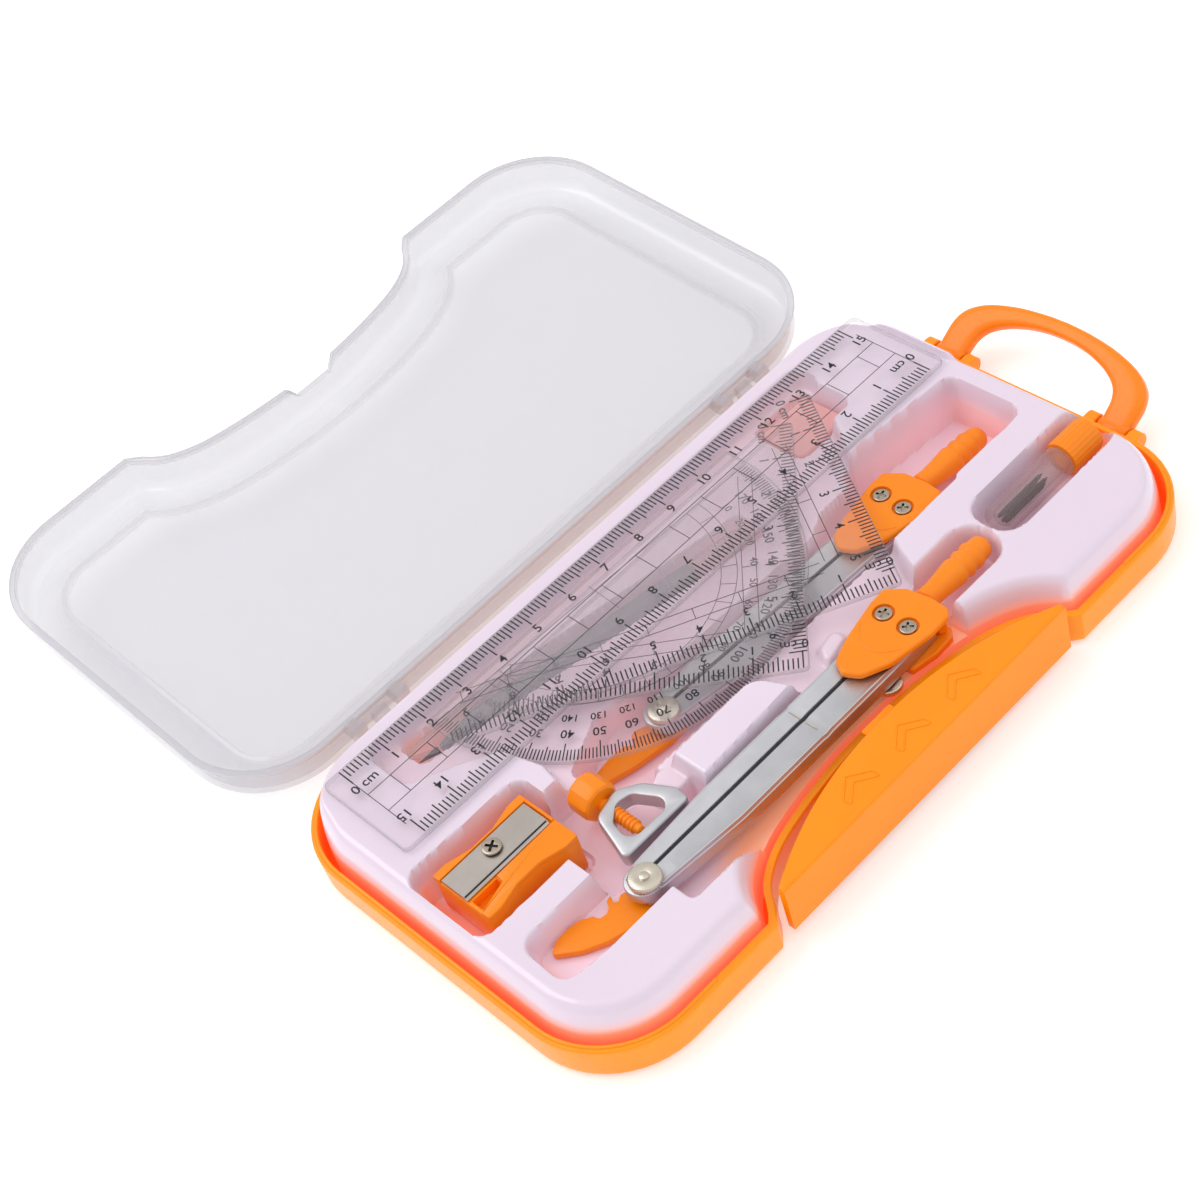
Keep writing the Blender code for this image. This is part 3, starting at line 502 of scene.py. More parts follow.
def distance(x, y, outline):
    """Signed distance of the points (x, y) to a closed outline, negative inside."""
    best = np.full(x.shape, 1e9)
    inside = np.zeros(x.shape, bool)
    for (ax, ay), (bx, by) in zip(outline, np.roll(outline, -1, 0)):
        ex, ey = bx - ax, by - ay
        t = np.clip(((x - ax) * ex + (y - ay) * ey) / max(ex * ex + ey * ey, 1e-9), 0, 1)
        best = np.minimum(best, (x - ax - t * ex) ** 2 + (y - ay - t * ey) ** 2)
        if ay != by:
            inside ^= ((ay > y) != (by > y)) & (x < (bx - ax) * (y - ay) / (by - ay) + ax)
    return np.where(inside, -1, 1) * np.sqrt(best)


def smooth(t):
    """3 t^2 - 2 t^3, with t held between 0 and 1."""
    t = np.clip(t, 0, 1)
    return t * t * (3 - 2 * t)


# ---- case outline
SCOOP = [(45.0, 0.0), (42.3, 2.6), (40.5, 5.2), (38.4, 7.4), (36.0, 9.0), (33.0, 10.5), (29.0, 11.9),
         (23.0, 13.2), (16.0, 14.3), (8.0, 15.1), (0.0, 15.3)]


def case_outline(d=0.0, seg=14, half=22):
    """Plan of the case grown by d: a rounded rectangle whose front has the scoop for the latch.

    The scoop's curve moves along its own normal, is cut off at the front line, and is walked in equal steps.
    """
    c = CORNER + d
    arc = np.linspace(0, math.pi / 2, seg + 1)
    cx, cy = HX - CORNER, HY - CORNER

    def quarter(sx, sy, a0):
        return around(sx * cx, sy * cy, c, a0 + arc)

    curve = flowing([(46.6, -1.8)] + SCOOP, 12)
    step = np.gradient(curve, axis=0)
    normal = np.column_stack([step[:, 1], -step[:, 0]]) / np.linalg.norm(step, axis=1)[:, None]
    curve = curve - normal * d * np.sign(normal[:, 1:2] + 1e-9)
    curve = curve[curve[:, 0] >= 0]
    above = np.argmax(curve[:, 1] > -d)
    low, high = curve[above - 1], curve[above]
    first = low + (high - low) * (-d - low[1]) / (high[1] - low[1])
    curve = np.concatenate([first[None], curve[above:]])
    walk = np.concatenate([[0], np.cumsum(np.linalg.norm(np.diff(curve, axis=0), axis=1))])
    at = np.linspace(0, walk[-1], half + 1)
    curve = np.column_stack([np.interp(at, walk, curve[:, 0]), -HY + np.interp(at, walk, curve[:, 1])])
    curve[-1, 0] = 0.0
    stops = np.array([[60.3, -HY - d], [60.0, -HY - d]])
    return np.concatenate([quarter(-1, -1, math.pi), stops * [-1, 1], curve * [-1, 1], curve[::-1][1:],
                           stops[::-1], quarter(1, -1, 1.5 * math.pi), quarter(1, 1, 0),
                           quarter(-1, 1, 0.5 * math.pi)])


CASE = case_outline()
FRONT = CASE[:, 1] < -HY + 17               # the points along the front, the scoop's among them
LIP_HERE = np.where(FRONT & (np.abs(CASE[:, 0]) <= 60.1), 0.0, 1.0)


def arc_steps(d, z, r, a0, a1, n=4):
    """Rows (offset, height) on a circle about (d, z), angles in degrees from outwards."""
    a = np.radians(np.linspace(a0, a1, n + 1))
    return [(d + r * math.cos(t), z + r * math.sin(t)) for t in a]


# ---- base shell
def build_base():
    """Shell swept up its outside, over its lip and down its inside, then stubs for lid, handle and latch."""
    outside = arc_steps(-1.6, 1.6, 1.6, -90, 0) + [(0.0, 7.6)] + arc_steps(-0.45, 8.0, 0.45, 10, 80, 3)
    outside += [(-0.72, SEAT)]
    lip = [(-0.8, SEAT), (-0.95, 8.72), (-1.35, 8.78), (-1.55, 8.6)]
    rows = outside + lip + [(-1.6, 8.2), (-1.65, 3.4), (-2.0, 2.1), (-2.8, 1.6)]
    rings = [level(case_outline(d), SEAT + (z - SEAT) * LIP_HERE if (d, z) in lip else z) for d, z in rows]
    # the inside rows carry the mark for the painted shade and light low in the gap behind the tray
    piece = Piece().loft(rings, inside=np.arange(len(rows)) >= len(outside))
    tongue = np.concatenate([[(HY - 0.6, 4.4), (HINGE_Y - 0.2, 6.6), (HINGE_Y + 1.0, 8.2)],
                             around(HINGE_Y, HINGE_Z, 1.0, np.radians(np.linspace(-20, 150, 9))),
                             [(HY - 0.6, 8.5)]])
    ear = np.concatenate([[(HX - 1.0, 2.95), (PIVOT_X, 2.95)],
                          around(PIVOT_X, PIVOT_Z, 2.05, np.linspace(0.3, 2.84, 9) - math.pi / 2),
                          [(PIVOT_X, 7.05), (HX - 1.0, 7.05)]])
    for side in (-1, 1):
        x = side * HINGE_X
        piece.prism(tongue, x, 1.8, mat=1)
        piece.loft(spun([(0.3, x - 7.8), (0.45, x - 7.6), (0.45, x + 7.6), (0.3, x + 7.8)], 14,
                        (0, HINGE_Y, HINGE_Z), "x"), mat=1)
        for y in EARS:
            piece.prism(ear, side * y, 1.45, across=1)
        piece.pin(0.9, side * EARS[0], side * EARS[1], 12, (PIVOT_X, 0, PIVOT_Z), "y")
        x = side * 9.5
        piece.slab(rounded(oblong(x - 2, x + 2, -HY + 5.7, -HY + 9.1), 0.6, 3), 0.7, 5.7, 0.6)
        piece.pin(0.9, x, side * 14.5, 12, (0, LATCH_Y, LATCH_Z), "x")
    piece.slab(rounded(oblong(-15, 15, -HY + 5.2, -HY + 15.3), 1.2, 4), 0.0, 1.0, 0.25)
    piece.done("base_moulding", "case", "orange", (ORANGE, LID_CLEAR), ("base_shell",))


build_base()


# ---- inner tray
POCKETS = {   # corners in plan, corner radius, floor height
    "sheets": ([(-67, 41.5), (-67, 29), (-58, 24.5), (-49.5, 19), (-47, 9), (-49, -1), (-40, -12),
                (-31, -10.2), (-7.2, -10.2), (-3, -20.5), (31, -20.5), (34, -13), (48, 12), (63, 36),
                (63, 41.5)],
               [3.0] * 8 + [5.0] + [3.0] * 6, 10.6),
    "ruler_end": ([(60, 41.4), (54, 28), (50, 14.2), (82.8, 14.2), (82.8, 41.4)], 1.2, 15.0),
    "front_compass": ([(-52, -37), (-52, -18.9), (-31.5, -18.4), (-31, -19.9), (16, -18.2), (22, -15.9),
                       (29, -16.6), (29.5, -37)], 1.0, 8.2),
    "ring": ([(-59.5, -21), (-59.5, -9), (-53.0, 3.2), (-41.5, 3.2), (-31.0, -10), (-31, -21)], 2.5, 5.6),
    "leaf": ([(-79.5, -30.5), (-79, -18.5), (-52, -18.5), (-46, -28.0), (-52, -31.6), (-70, -31.6)],
             3.0, 8.6),
    "front_grip": (oblong(26, 47.8, -30.6, -19.2), 5.2, 7.6),
    "rear_compass": ([(-42, -7.0), (-44, 6.0), (-30, 12.5), (-20, 9.4), (30, 7.6), (36, 10.8), (57, 10.8),
                      (57, -9.4), (36, -9.4), (30, -7.6), (-18, -7.2)], 1.8, 2.6),
    "pencil": ([(-60.5, 33.2), (-60.5, 41.2), (26, 25.8), (26, 16.6)], 2.0, 3.4),
    "rear_grip": ([(46, 14.2), (49, 13.2), (78.4, 10.6), (78.4, -8.6), (50, -8.6), (44, 0)], 2.4, 3.2),
    "eraser": (oblong(45.5, 61.5, 24.5, 39.5), 2.0, 5.6),
    "lead_tube": (oblong(49.8, 85.6, -29.2, -17.6), 4.6, 7.8),
    "sharpener": ([(-82.6, -11.0), (-82.6, 11.2), (-53.0, 10.4), (-53.0, -10.8)], 3.0, 4.4),
}
RAISED = {    # corners in plan, height
    "finger_step": ([(-34.5, -15.4), (-37.6, -9.3), (-33.5, -7.6), (-28.5, -10.6), (-28.5, -15.4)], 11.0),
    "tab": ([(4.6, -19.3), (7.0, -14.6), (12.6, -13.6), (13.0, -17.4)], 12.1),
}


def tray_height(x, y, edge):
    """Top of the tray at each point: plateau, rolled outer wall, and pockets with softly drafted walls."""
    t = np.clip(-edge / (4.2 - 2.4 * smooth((y - 34) / 8)), 0, 1)
    z = 2.0 + (TRAY_TOP - 2.0) * (1 - (1 - t) ** 2.5) ** (1 / 2.1)
    for name, (corners, radius, floor) in POCKETS.items():
        d = distance(x, y, rounded(corners, radius, 5))
        draft = 0.5 if name == "ruler_end" else 0.95
        z = np.minimum(z, floor + (TRAY_TOP + 0.001 - floor) * smooth((d + draft) / (1.9 * draft)))
    for corners, top in RAISED.values():
        d = distance(x, y, rounded(corners, 1.4, 4))
        z = np.maximum(z, z + (top - z) * smooth((0.9 - d) / 1.8))
    hump = smooth((x - 82.2) / 0.9) * smooth((86.0 - x) / 1.2)
    hump = hump * smooth((y - 12.5) / 2.2) * smooth((43.5 - y) / 2.5)
    return z + 1.5 * hump * smooth((-edge - 0.8) / 2)


def build_tray():
    """The sheet as a grid: columns across the case, each running between the two long sides of the plan."""
    plan = case_outline(-TRAY_GAP)
    wide = HX - TRAY_GAP
    nx, ny = 404, 218
    u = np.linspace(-1, 1, nx)
    x = wide * (0.93 * u + 0.07 * np.sin(u * math.pi / 2))
    x = wide * np.sign(x) * (1 - (1 - np.abs(x) / wide) ** 1.12)
    plan_by_x = plan[np.argsort(plan[:, 0], kind="stable")]
    upper, lower = plan_by_x[plan_by_x[:, 1] > 0], plan_by_x[plan_by_x[:, 1] < 0]
    y_hi, y_lo = (np.interp(x, side[:, 0], side[:, 1]) for side in (upper, lower))
    v = np.linspace(0, 1, ny)
    gx = np.repeat(x[:, None], ny, 1)
    gy = y_lo[:, None] + (y_hi - y_lo)[:, None] * v
    edge = distance(gx, gy, plan)
    edge[:, 0] = edge[:, -1] = edge[0] = edge[-1] = 0.0
    gz = tray_height(gx, gy, np.minimum(edge, 0))
    i, j = np.meshgrid(np.arange(nx - 1), np.arange(ny - 1), indexing="ij")
    a = (i * ny + j).ravel()
    faces = list(np.stack([a, a + ny, a + ny + 1, a + 1], 1))
    k = np.arange(1, nx - 2) * ny
    faces += list(np.stack([k, k + ny - 1, k + 2 * ny - 1, k + ny], 1))
    faces.append(np.concatenate([np.arange(ny), [2 * ny - 1, ny]]))
    last = (nx - 1) * ny
    faces.append(np.concatenate([[last - ny, last - 1], last + np.arange(ny)[::-1]]))
    piece = Piece().raw(np.stack([gx, gy, gz], 2), faces, rim=smooth((edge + 11) / 7))
    piece.done("tray_sheet", "case", "tray", TRAY, ("inner_tray",), smooth=60)


build_tray()


# ---- lid, worked out closed, then swung open
def swing_matrix(degrees):
    """Turn about the lid's hinge line by the given angle, away from the case."""
    c, s = math.cos(math.radians(degrees)), -math.sin(math.radians(degrees))
    m = np.eye(4)
    m[1:3, 1:3] = [[c, -s], [s, c]]
    m[1:3, 3] = np.array([HINGE_Y, HINGE_Z]) - m[1:3, 1:3] @ np.array([HINGE_Y, HINGE_Z])
    return m


def build_lid():
    """Shell between an inner and an outer profile swept round the plan, notched at the front for the hook."""
    roof, wall = LID_TOP, 1.15
    under = roof - wall
    inner = [(-10.4, under - 0.12), (-9.6, under - 0.12), (-9.0, under), (-8.4, under)]
    inner += arc_steps(-3.3, roof - 3.4, 3.4 - wall, 90, 0, 8)
    inner += [(d, LID_RIM + z) for d, z in
              ((-1.15, 3.2), (-1.1, 1.6), (-1.1, 0.5), (-0.75, 0.45), (-0.7, 0.05), (-0.6, 0))]
    outer = [(0.45, 0), (0.6, 0.15), (0.6, 0.95), (0.5, 1.1), (0.15, 1.2), (0.1, 3.4)]
    outer = [(d, LID_RIM + z) for d, z in outer] + arc_steps(-3.3, roof - 3.4, 3.4, 0, 90, 8)
    outer += [(-8.6, roof), (-9.2, roof + 0.02), (-9.8, roof - 0.18), (-10.6, roof - 0.18)]
    rows = inner + outer
    notch = FRONT & (np.abs(CASE[:, 0]) < 5.2)
    rings = [level(case_outline(d), np.where(notch, max(z, LID_RIM + 3.8), z)) for d, z in rows]
    rim = [max(float(z < LID_RIM + 1.15), 0.5 * float(-9.9 < d < -8.5 and z > roof - 2)) for d, z in rows]
    piece = Piece().loft(rings, rim=rim)
    knuckle = rounded([(HY - 0.3, LID_RIM + 3.0), (HY - 0.3, LID_RIM + 0.3), (HINGE_Y - 1.6, HINGE_Z - 1.1),
                       (HINGE_Y, HINGE_Z - 1.9), (HINGE_Y + 1.6, HINGE_Z - 1.1), (HINGE_Y + 1.9, HINGE_Z),
                       (HINGE_Y + 1.5, HINGE_Z + 1.4), (HINGE_Y, LID_RIM + 3.2)], 0.5, 3)
    for x in (-HINGE_X - 6, -HINGE_X + 6, HINGE_X - 6, HINGE_X + 6):
        piece.prism(knuckle, x, 1.6)
    piece.move(swing_matrix(LID_OPEN))
    piece.done("lid_shell", "lid", "clear", LID_CLEAR, ("lid",), smooth=40)


build_lid()


# ---- press latch
def latch_plan(g=0.0, n=48):
    """Straight front, back bowed as 1 - |x|^2.2; g grows it."""
    q = 1 - max(0.0, -1.0 - 2 * g) / LATCH_BOW
    end = min(LATCH_HALF + g, LATCH_HALF * q ** (1 / 2.2))
    x = end * np.cos(np.linspace(0, math.pi, n))
    back = np.column_stack([x, -HY + 1.9 + g + LATCH_BOW * (1 - (np.abs(x) / LATCH_HALF) ** 2.2)])
    return np.concatenate([[(-end, -HY + 0.3 - g), (end, -HY + 0.3 - g)], back])


def ribbon(piece, path, width, z0, z1, slope=0.12):
    """Raised closed line: the path widened both ways, with sloping sides."""
    (out_low, out_high), (in_low, in_high) = ([grow(path, side * (width / 2 - e)) for e in (0, slope)]
                                              for side in (1, -1))
    piece.loft([level(in_low, z0), level(out_low, z0), level(out_high, z1), level(in_high, z1)], closed=True)


def build_latch():
    """Bowed bar with a hook, three raised outline arrows pointing at it and two ribs down to the axis."""
    rows = [(-1.5, LATCH_TOP - 1.5), (-1.5, 2.0), (-0.1, 2.0), (0, 2.1), (0, LATCH_TOP - 0.7),
            (-0.06, LATCH_TOP - 0.42), (-0.2, LATCH_TOP - 0.2), (-0.42, LATCH_TOP - 0.06), (-0.7, LATCH_TOP)]
    piece = Piece().loft([level(latch_plan(d), z) for d, z in rows])
    piece.slab(rounded(oblong(-4.2, 4.2, -HY + 11.3, -HY + 14.3), 0.3, 3), 11.4, 12.6, 0.3)
    arrow = [(0, 3.0), (4.2, -0.3), (4.2, -2.3), (0, 0.9), (-4.2, -2.3), (-4.2, -0.3)]
    for x in (-15.0, 0.0, 15.0):
        outline = rounded(np.array(arrow) + [x, -HY + 5.4], 0.3, 2)
        ribbon(piece, outline, 0.42, LATCH_TOP - 0.05, LATCH_TOP + 0.16)
    for x in (-13.2, 13.2):
        rib = rounded(oblong(x - 1, x + 1, -HY + 5.2, -HY + 9.2), 0.2, 2)
        piece.slab(rib, 2.6, LATCH_TOP - 0.9, 0.2)
    piece.done("latch_bar", "latch", "orange", LATCH_ORANGE, ("press_latch",), smooth=28)


build_latch()


# ---- carry handle
def build_handle():
    """Loop between two curves: section |cos|^0.62, |sin|^0.62 of the angle, swept round and tipped up."""
    curves = []
    for half in ([(-0.6, 25.9), (3.5, 26.0), (7.4, 25.8), (10.8, 24.1), (13.6, 19.9), (15.6, 13.2),
                  (16.6, 6.0), (16.9, 0)],
                 [(-0.6, 18.7), (2.8, 18.6), (5.6, 18.3), (8.3, 16.8), (10.6, 13.4), (12.3, 8.6), (13.1, 4.0),
                  (13.3, 0)]):
        curve = flowing(half, 7)
        curves.append(np.concatenate([curve, (curve * [1, -1])[::-1][1:]])[:, None])
    outer, inner = curves
    phi = np.linspace(0, TAU, 28, endpoint=False)
    c, s = (np.sign(f) * np.abs(f) ** 0.62 for f in (np.cos(phi), np.sin(phi)))
    thick = 2.05 - 0.25 * np.cos(np.linspace(0, TAU, len(outer))) ** 2
    plan = (outer + inner) / 2 + (outer - inner) / 2 * c[None, :, None]
    w = thick[:, None] * s
    up = math.radians(28.0)
    x = PIVOT_X + plan[..., 0] * math.cos(up) - w * math.sin(up)
    z = PIVOT_Z + plan[..., 0] * math.sin(up) + w * math.cos(up)
    piece = Piece().loft(np.stack([x, plan[..., 1], z], 2))
    for a, b in ((-25.9, -18.7), (18.7, 25.9)):
        profile = [(1.75, a), (2.1, a + 0.3), (2.1, b - 0.3), (1.75, b)]
        piece.loft(spun(profile, 24, (PIVOT_X, 0, PIVOT_Z), "y"))
    piece.done("handle_loop", "handle", "orange_part", HANDLE_ORANGE, ("handle",), smooth=50)


build_handle()


# ---- printing on the clear pieces
def strokes(piece, a, b, width, z, mat=2, high=0.035):
    """Thin closed blocks from the points a to the points b, lying on height z."""
    a, b = np.asarray(a, float).reshape(-1, 2), np.asarray(b, float).reshape(-1, 2)
    d = b - a
    side = np.column_stack([-d[:, 1], d[:, 0]]) / np.linalg.norm(d, axis=1)[:, None] * width / 2
    flat = np.stack([a - side, b - side, b + side, a + side], 1)
    points = np.concatenate([np.dstack([flat, np.full(flat.shape[:2], z)]),
                             np.dstack([flat, np.full(flat.shape[:2], z + high)])], 1)
    box = np.array([[0, 3, 2, 1], [4, 5, 6, 7], [0, 1, 5, 4], [1, 2, 6, 5], [2, 3, 7, 6], [3, 0, 4, 7]])
    piece.raw(points, list((box[None] + 8 * np.arange(len(a))[:, None, None]).reshape(-1, 4)), mat)


GLYPHS = {}
FINE = 0.15                                # width of the thin lines


def glyph(text):
    """Points and faces of a number set in the built-in face, one unit tall, centred on the origin."""
    if text not in GLYPHS:
        curve = bpy.data.curves.new("glyph", "FONT")
        curve.body, curve.align_x, curve.align_y = text, "CENTER", "CENTER"
        curve.extrude, curve.resolution_u, curve.offset = 0.006, 3, 0.010
        holder = bpy.data.objects.new("glyph", curve)
        mesh = bpy.data.meshes.new_from_object(holder)
        points = np.empty(len(mesh.vertices) * 3)
        mesh.vertices.foreach_get("co", points)
        GLYPHS[text] = points.reshape(-1, 3), [np.array(p.vertices) for p in mesh.polygons]
        bpy.data.meshes.remove(mesh)
        bpy.data.objects.remove(holder)
        bpy.data.curves.remove(curve)
    return GLYPHS[text]


def label(piece, text, at, up, z, size=3.0, mat=2):
    """A number centred on a point of height z, its top towards up."""
    points, faces = glyph(text)
    up = np.asarray(up, float) / np.hypot(*up)
    right = np.array([up[1], -up[0]])
    flat = np.asarray(at, float) + size * (points[:, :1] * right + points[:, 1:2] * up)
    piece.raw(np.column_stack([flat, z + 0.02 + size * points[:, 2]]), faces, mat)


def tick_reach(k, tenth, fifth, other):
    """Length of the tick at each division k, as a column."""
    return np.where(k % 10 == 0, tenth, np.where(k % 5 == 0, fifth, other))[:, None]


def scale(piece, start, along, inward, length, z, size=3.25, ladder=()):
    """Millimetre ticks from the edge inwards, a number at each centimetre, and ladder lines."""
    start, along, inward = np.asarray(start, float), np.asarray(along, float), np.asarray(inward, float)
    k = np.arange(int(length) + 1)
    a = start + along * k[:, None] + inward * 0.25
    strokes(piece, a, a + inward * (tick_reach(k, 4.8, 3.9, 3.0) - 0.25), 0.31, z)
    for c in range(int(length) // 10 + 1):
        text, shift = (str(c), 0) if c else ("0 cm", 1.6)
        label(piece, text, start + along * (10 * c + shift) + inward * 6.7, -inward, z, size)
    if ladder:
        near, far, first, last = ladder
        for line in (near, far):
            a = start + inward * line
            strokes(piece, a + along * first, a + along * last, FINE, z)
        c = start + along * (np.arange(math.ceil(first / 10), int(last // 10) + 1)[:, None] * 10.0)
        strokes(piece, c + inward * near, c + inward * far, FINE, z)


def build_ruler():
    """Flat sheet, 160 mm long, with a scale along each side and a grid between them."""
    end, half = 75.6, 13.4
    piece = Piece().slab(rounded(oblong(-80, 80, -half, half), 1.6, 6), RULER_Z, RULER_TOP, 0.35, 3, 1, 0)
    for s in (1, -1):
        scale(piece, (-end * s, (half - 0.3) * s), (s, 0), (0, -s), 150, RULER_TOP)
    for y in (3.5, -2.95):
        strokes(piece, [(-end, y)], [(end, y)], 0.16, RULER_TOP)
    x = np.arange(-7, 8)[:, None] * 10.0 + [0.4]
    strokes(piece, np.column_stack([x, x * 0 + 3.5]), np.column_stack([x, x * 0 - 2.95]), 0.16, RULER_TOP)
    strokes(piece, [(-end, 8.4), (end, 8.4)], [(-end, -8.4), (end, -8.4)], 0.16, RULER_TOP)
    piece.move(placed(-0.45, 1.4, 27.6)).done("ruler_sheet", "ruler", "clear", PRINTED, ("ruler",))


def build_square(node, body, corner, legs, dirs, zeros):
    """Right-angled sheet: legs from its corner along two directions, a scale and a ladder beside each."""
    z0, z1 = (c[2] for c in extent(node))
    corner, a, b = np.array(corner), np.array(dirs[0]), np.array(dirs[1])
    outline = rounded([corner, corner + legs[0] * a, corner + legs[1] * b], 1.2, 5)
    piece = Piece().slab(outline, z0, z1, 0.3, 3, 1, 0)
    scale(piece, corner + a * zeros[0], -a, b, zeros[0] - 4, z1, 3.0,
          (9.5, 12.5, zeros[0] - legs[0] * 0.78, zeros[0] - 12.5))
    scale(piece, corner + b * 1.2, b, a, legs[1] - zeros[1], z1, 3.0, (9.5, 12.5, 12.5, legs[1] * 0.84))
    piece.done(node + "_sheet", body, "clear", PRINTED, (node,))


def build_protractor():
    """Half disc with a degree scale numbered both ways and an inner arc."""
    z0, z1 = (c[2] for c in extent("protractor"))
    centre, r = np.array([-7.6, 35.8]), 45.4
    rim = around(*centre, r, np.radians(np.linspace(177, 357, 91)))
    piece = Piece().slab(np.concatenate([rim, centre + [(r, 3.8), (-r, 3.8)]]), z0, z1, 0.25, 3, 1, 0)
    k = np.arange(181)
    out = around(0, 0, 1, np.radians(177.1 + k))
    hub = np.array([-7.8, 35.4])
    strokes(piece, hub + out * 44.6, hub + out * (44.6 - tick_reach(k, 4.2, 3.4, 2.6)), 0.26, z1)
    tens = k[::10]
    strokes(piece, hub + out[tens] * 30.4, hub + out[tens] * 27.0, FINE, z1)
    for radius in (30.4, 27.0):
        ring = hub + radius * out
        strokes(piece, ring[:-1], ring[1:], FINE, z1)
    for d in tens[1:-1]:
        label(piece, str(d), hub + out[d] * 37.9, out[d], z1, 2.9)
        label(piece, str(180 - d), hub + out[d] * 33.9, out[d], z1, 2.4)
    strokes(piece, [hub + out[0] * 44, hub + out[90] * 8], [hub + out[180] * 44, hub - out[90] * 2], FINE, z1)
    piece.done("protractor_sheet", "protractor", "clear", PRINTED, ("protractor",))


H2 = math.sqrt(0.5)
build_ruler()
build_square("set_square_45", "square_45", (1.5, -17.7), (72.0, 72.0), ((H2, H2), (-H2, H2)), (69.6, 9.0))
build_square("set_square_60", "square_60", (28.1, -19.5), (62.5, 108.25), ((0.5, 0.866), (-0.866, 0.5)),
             (60.5, 14.0))
build_protractor()


# ---- compasses
HEAD = [(8.2, -6.4), (6.6, -8.0), (1.5, -8.2), (-9.0, -6.4), (-14.6, -3.6), (-16.4, 0.0), (-14.6, 3.2),
        (-9.0, 5.2), (0.5, 7.2), (4.8, 7.4), (7.6, 3.6), (8.4, -2.0)]
HEAD_R = [0.7, 0.7, 3.0, 6.0, 3.0, 1.6, 3.0, 6.0, 4.0, 0.9, 2.0, 2.0]


def cross_head(piece, x, y, z, r, turned=20.0):
    """Domed screw head with a cross-shaped recess over a black disc, painted shade on the recess floor."""
    arm, half = r * 0.66, r * 0.15
    cross = np.array([(-half, -arm), (half, -arm), (half, -half), (arm, -half), (arm, half), (half, half),
                      (half, arm), (-half, arm), (-half, half), (-arm, half), (-arm, -half), (-half, -half)])
    piece.plate(disc(x, y, r, 32), [turn(cross, turned, (x, y))], z - 0.55, z, 0.22, 0.04)
    # black disc under the cross: painted shade in the recess
    piece.slab(disc(x, y, r - 0.15, 24), z - 0.8, z - 0.56, 0.04, 1, mat=1)


def leg_rows(x, y_in, y_out, side):
    """Cross-sections of a leg: flat land, a bright ridge near the outer edge, a step down to a soft side."""
    across = np.array([0.0, 0.0, 0.03, 0.09, 0.66, 0.69, 0.74, 0.79, 0.82, 0.86, 0.95, 1.0, 1.0, 0.97])
    if side < 0:
        across = np.array([0.0, 0.0, 0.03, 0.09, 0.82, 0.85, 0.885, 0.92, 0.94, 0.96, 0.985, 1.0, 1.0, 0.97])
    height = np.array([0.15, 3.55, 3.85, 3.93, 3.93, 4.02, 4.08, 4.02, 3.5, 3.28, 3.22, 2.9, 0.3, 0.0])
    x, height = np.broadcast_arrays(x[:, None], height)
    rows = np.stack([x, y_in + (y_out - y_in)[:, None] * across, height], 2)
    return rows if side > 0 else rows[:, ::-1]


LEG, HEAD_TOP = 4.0, 6.1        # heights over the legs' underside: the legs' face and the front cover's
LEAF_HOOKED = (
    [(3.0, 0.6), (-2.2, 2.9), (-3.6, 3.3), (-4.9, 2.5), (-5.6, 3.3), (-4.7, 4.9), (-6.2, 4.4), (-7.0, 3.0),
     (-8.2, 2.4), (-9.7, 2.7), (-10.2, 4.2), (-12.3, 5.6), (-15.2, 6.1), (-18.2, 5.9), (-21.2, 4.4),
     (-16.8, 0.3), (-12.4, -2.2), (-8.1, -3.6), (-3.4, -4.2), (3.0, -3.6)],
    [0.4, 1, 0.5, 0.4, 0.3, 0.2, 0.6, 0.8, 0.6, 0.6, 0.5, 1.5, 3, 2, 0.7, 4, 4, 4, 4, 0.6])
LEAF_PLAIN = (
    [(3.0, 0.6), (-3.0, 2.6), (-5.0, 3.4), (-6.8, 3.0), (-6.2, 1.6), (-7.8, 0.9), (-9.0, 2.2), (-11.6, 2.4),
     (-14.0, 2.2), (-22.0, 0.6), (-20.0, -1.2), (-11.0, -3.4), (-2.0, -4.4), (3.0, -3.6)],
    [0.4, 1.2, 0.8, 0.5, 0.5, 0.6, 0.8, 1.5, 2, 0.7, 2, 4, 2, 0.6])
GRIP = [(1.7, 5.2), (1.7, 8.9), (2.45, 9.3), (2.6, 9.7), (2.45, 11.5), (2.6, 14), (2.9, 16.6), (3.08, 18.2),
        (3.1, 18.7), (2.95, 19.2), (2.72, 19.6), (2.72, 20.0), (2.95, 20.4), (3.1, 20.9), (3.1, 21.3),
        (2.92, 21.8), (2.72, 22.2), (2.72, 22.6), (2.95, 23.0), (3.08, 23.5), (3.06, 24.0), (2.86, 24.5),
        (2.7, 24.9), (2.68, 25.5), (2.62, 26.4), (2.3, 27.3), (1.7, 27.95), (0.9, 28.25), (0.25, 28.3)]
THUMB = [(0.95, 0.2), (0.95, 4.3), (3.1, 4.3), (3.42, 4.5), (3.48, 4.7), (3.48, 5.25), (3.3, 5.5), (3.1, 5.6),
         (1.3, 5.68), (1.1, 5.62), (1.0, 5.62), (0.95, 5.95), (0.7, 6.05)]
NUT = [(2.6, -1.65), (2.86, -1.45), (2.9, -1.3), (2.9, -0.6), (2.86, -0.45), (2.6, -0.3)]


